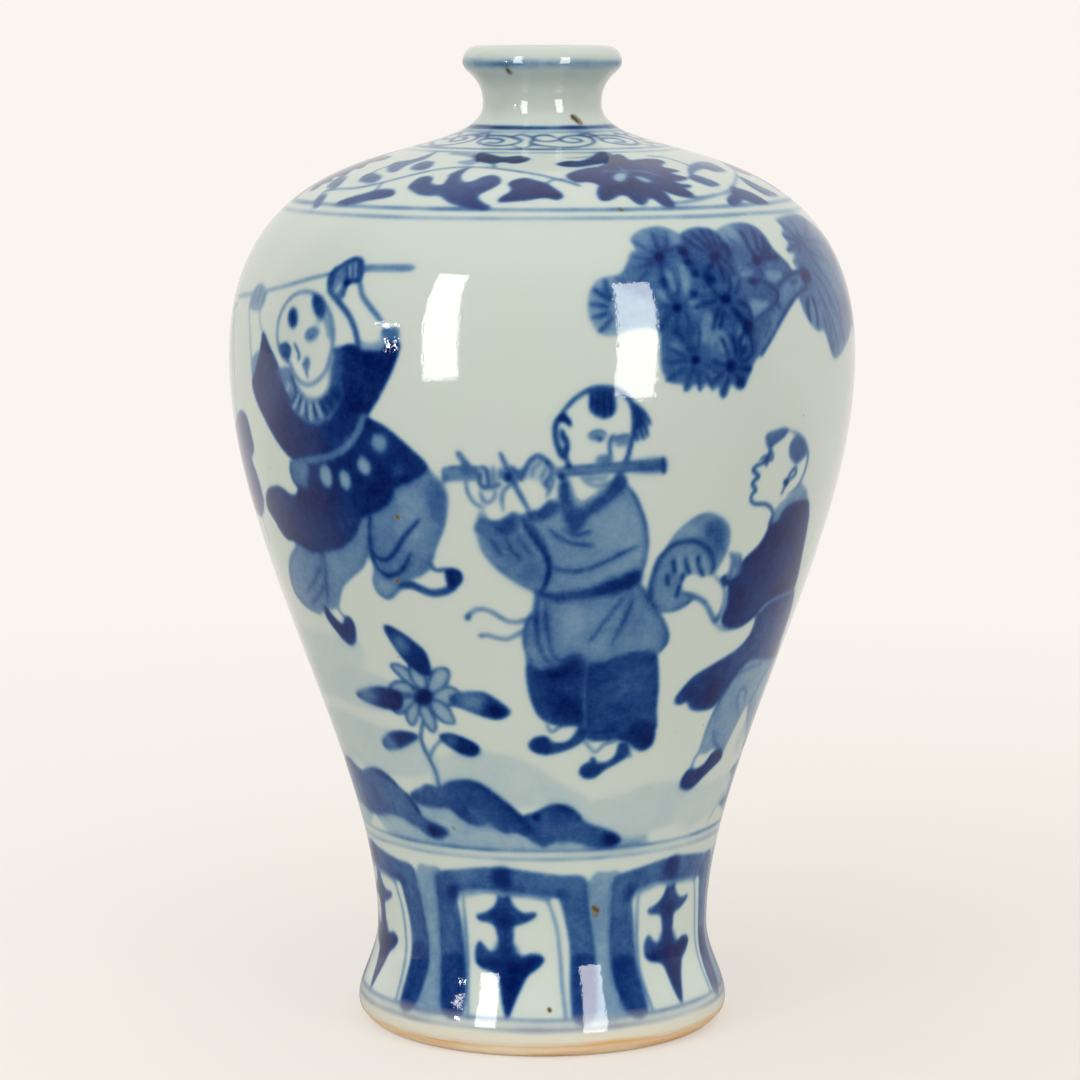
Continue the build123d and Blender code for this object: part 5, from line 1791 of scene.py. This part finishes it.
sheet = Sheet(*wall_outline())
paint_vase(sheet)
sheet.fire()
groups = {"glaze": gloss_glaze_group(), "clay": fired_clay_group()}
painted, clear = painted_glaze(), clear_glaze()
foot_line, waist_line = 0.0, sheet.up_wall(WAIST)
shoulder_line, collar_line, lip_line = sheet.up_wall(SHOULDER), sheet.up_wall(COLLAR), sheet.arc[-1]
scene_band, shoulder_band = (waist_line, shoulder_line), (shoulder_line, collar_line)
for i, turn in enumerate(around(BAND_PANELS)):
    turns = [turn + edge for edge in BAND_EDGES]
    glaze_panel(f"scene_glaze_{i + 1}", turns, scene_band, SCENE_CELLS, BROAD_BLOCK, painted)
    glaze_panel(f"shoulder_glaze_{i + 1}", turns, shoulder_band, SHOULDER_CELLS, BROAD_BLOCK, painted)
    glaze_panel(f"neck_glaze_{i + 1}", turns, (collar_line, lip_line), NECK_CELLS, NECK_BLOCK, painted)
for i, turn in enumerate(around(PANEL_COUNT)):
    turns = [turn + edge for edge in LAPPET_EDGES]
    glaze_panel(f"lappet_glaze_{i + 1}", turns, (foot_line, waist_line), LAPPET_CELLS, LAPPET_BLOCK, painted)

finishes = {
    "porcelain_clay": bare_clay("porcelain_clay", CLAY_BUFF, KILN_ORANGE, flush=0.75, rough=0.75),
    "slip": bare_clay("slip", CLAY_WHITE, CLAY_BUFF, flush=0.3, rough=0.8),
    "clear_glaze": clear,
    "painted_glaze": painted,
}
for part in frame["record"]["subparts"]:
    frame["nodes"][part["node"]].data.materials[0] = finishes[part["material_slot"]]

paper_table()
softbox(
    "left_softbox", distance=0.923, glow=2.2, shine=9.0,
    turn=-36.4, low=0.144, high=1.045, width=0.205, lean=-4.0,
)
softbox(
    "right_softbox", distance=1.248, glow=1.6, shine=9.4,
    turn=34.2, low=0.0, high=1.158, width=0.32, lean=5.5,
)
for i, (turn, *place) in enumerate(HOOD_GLINTS):
    soft_lamp(f"hood_glint_{i + 1}", turn, HOOD_DISTANCE, *place).visible_diffuse = False
studio_room()
view_camera()
bpy.context.scene.view_settings.view_transform = "Standard"
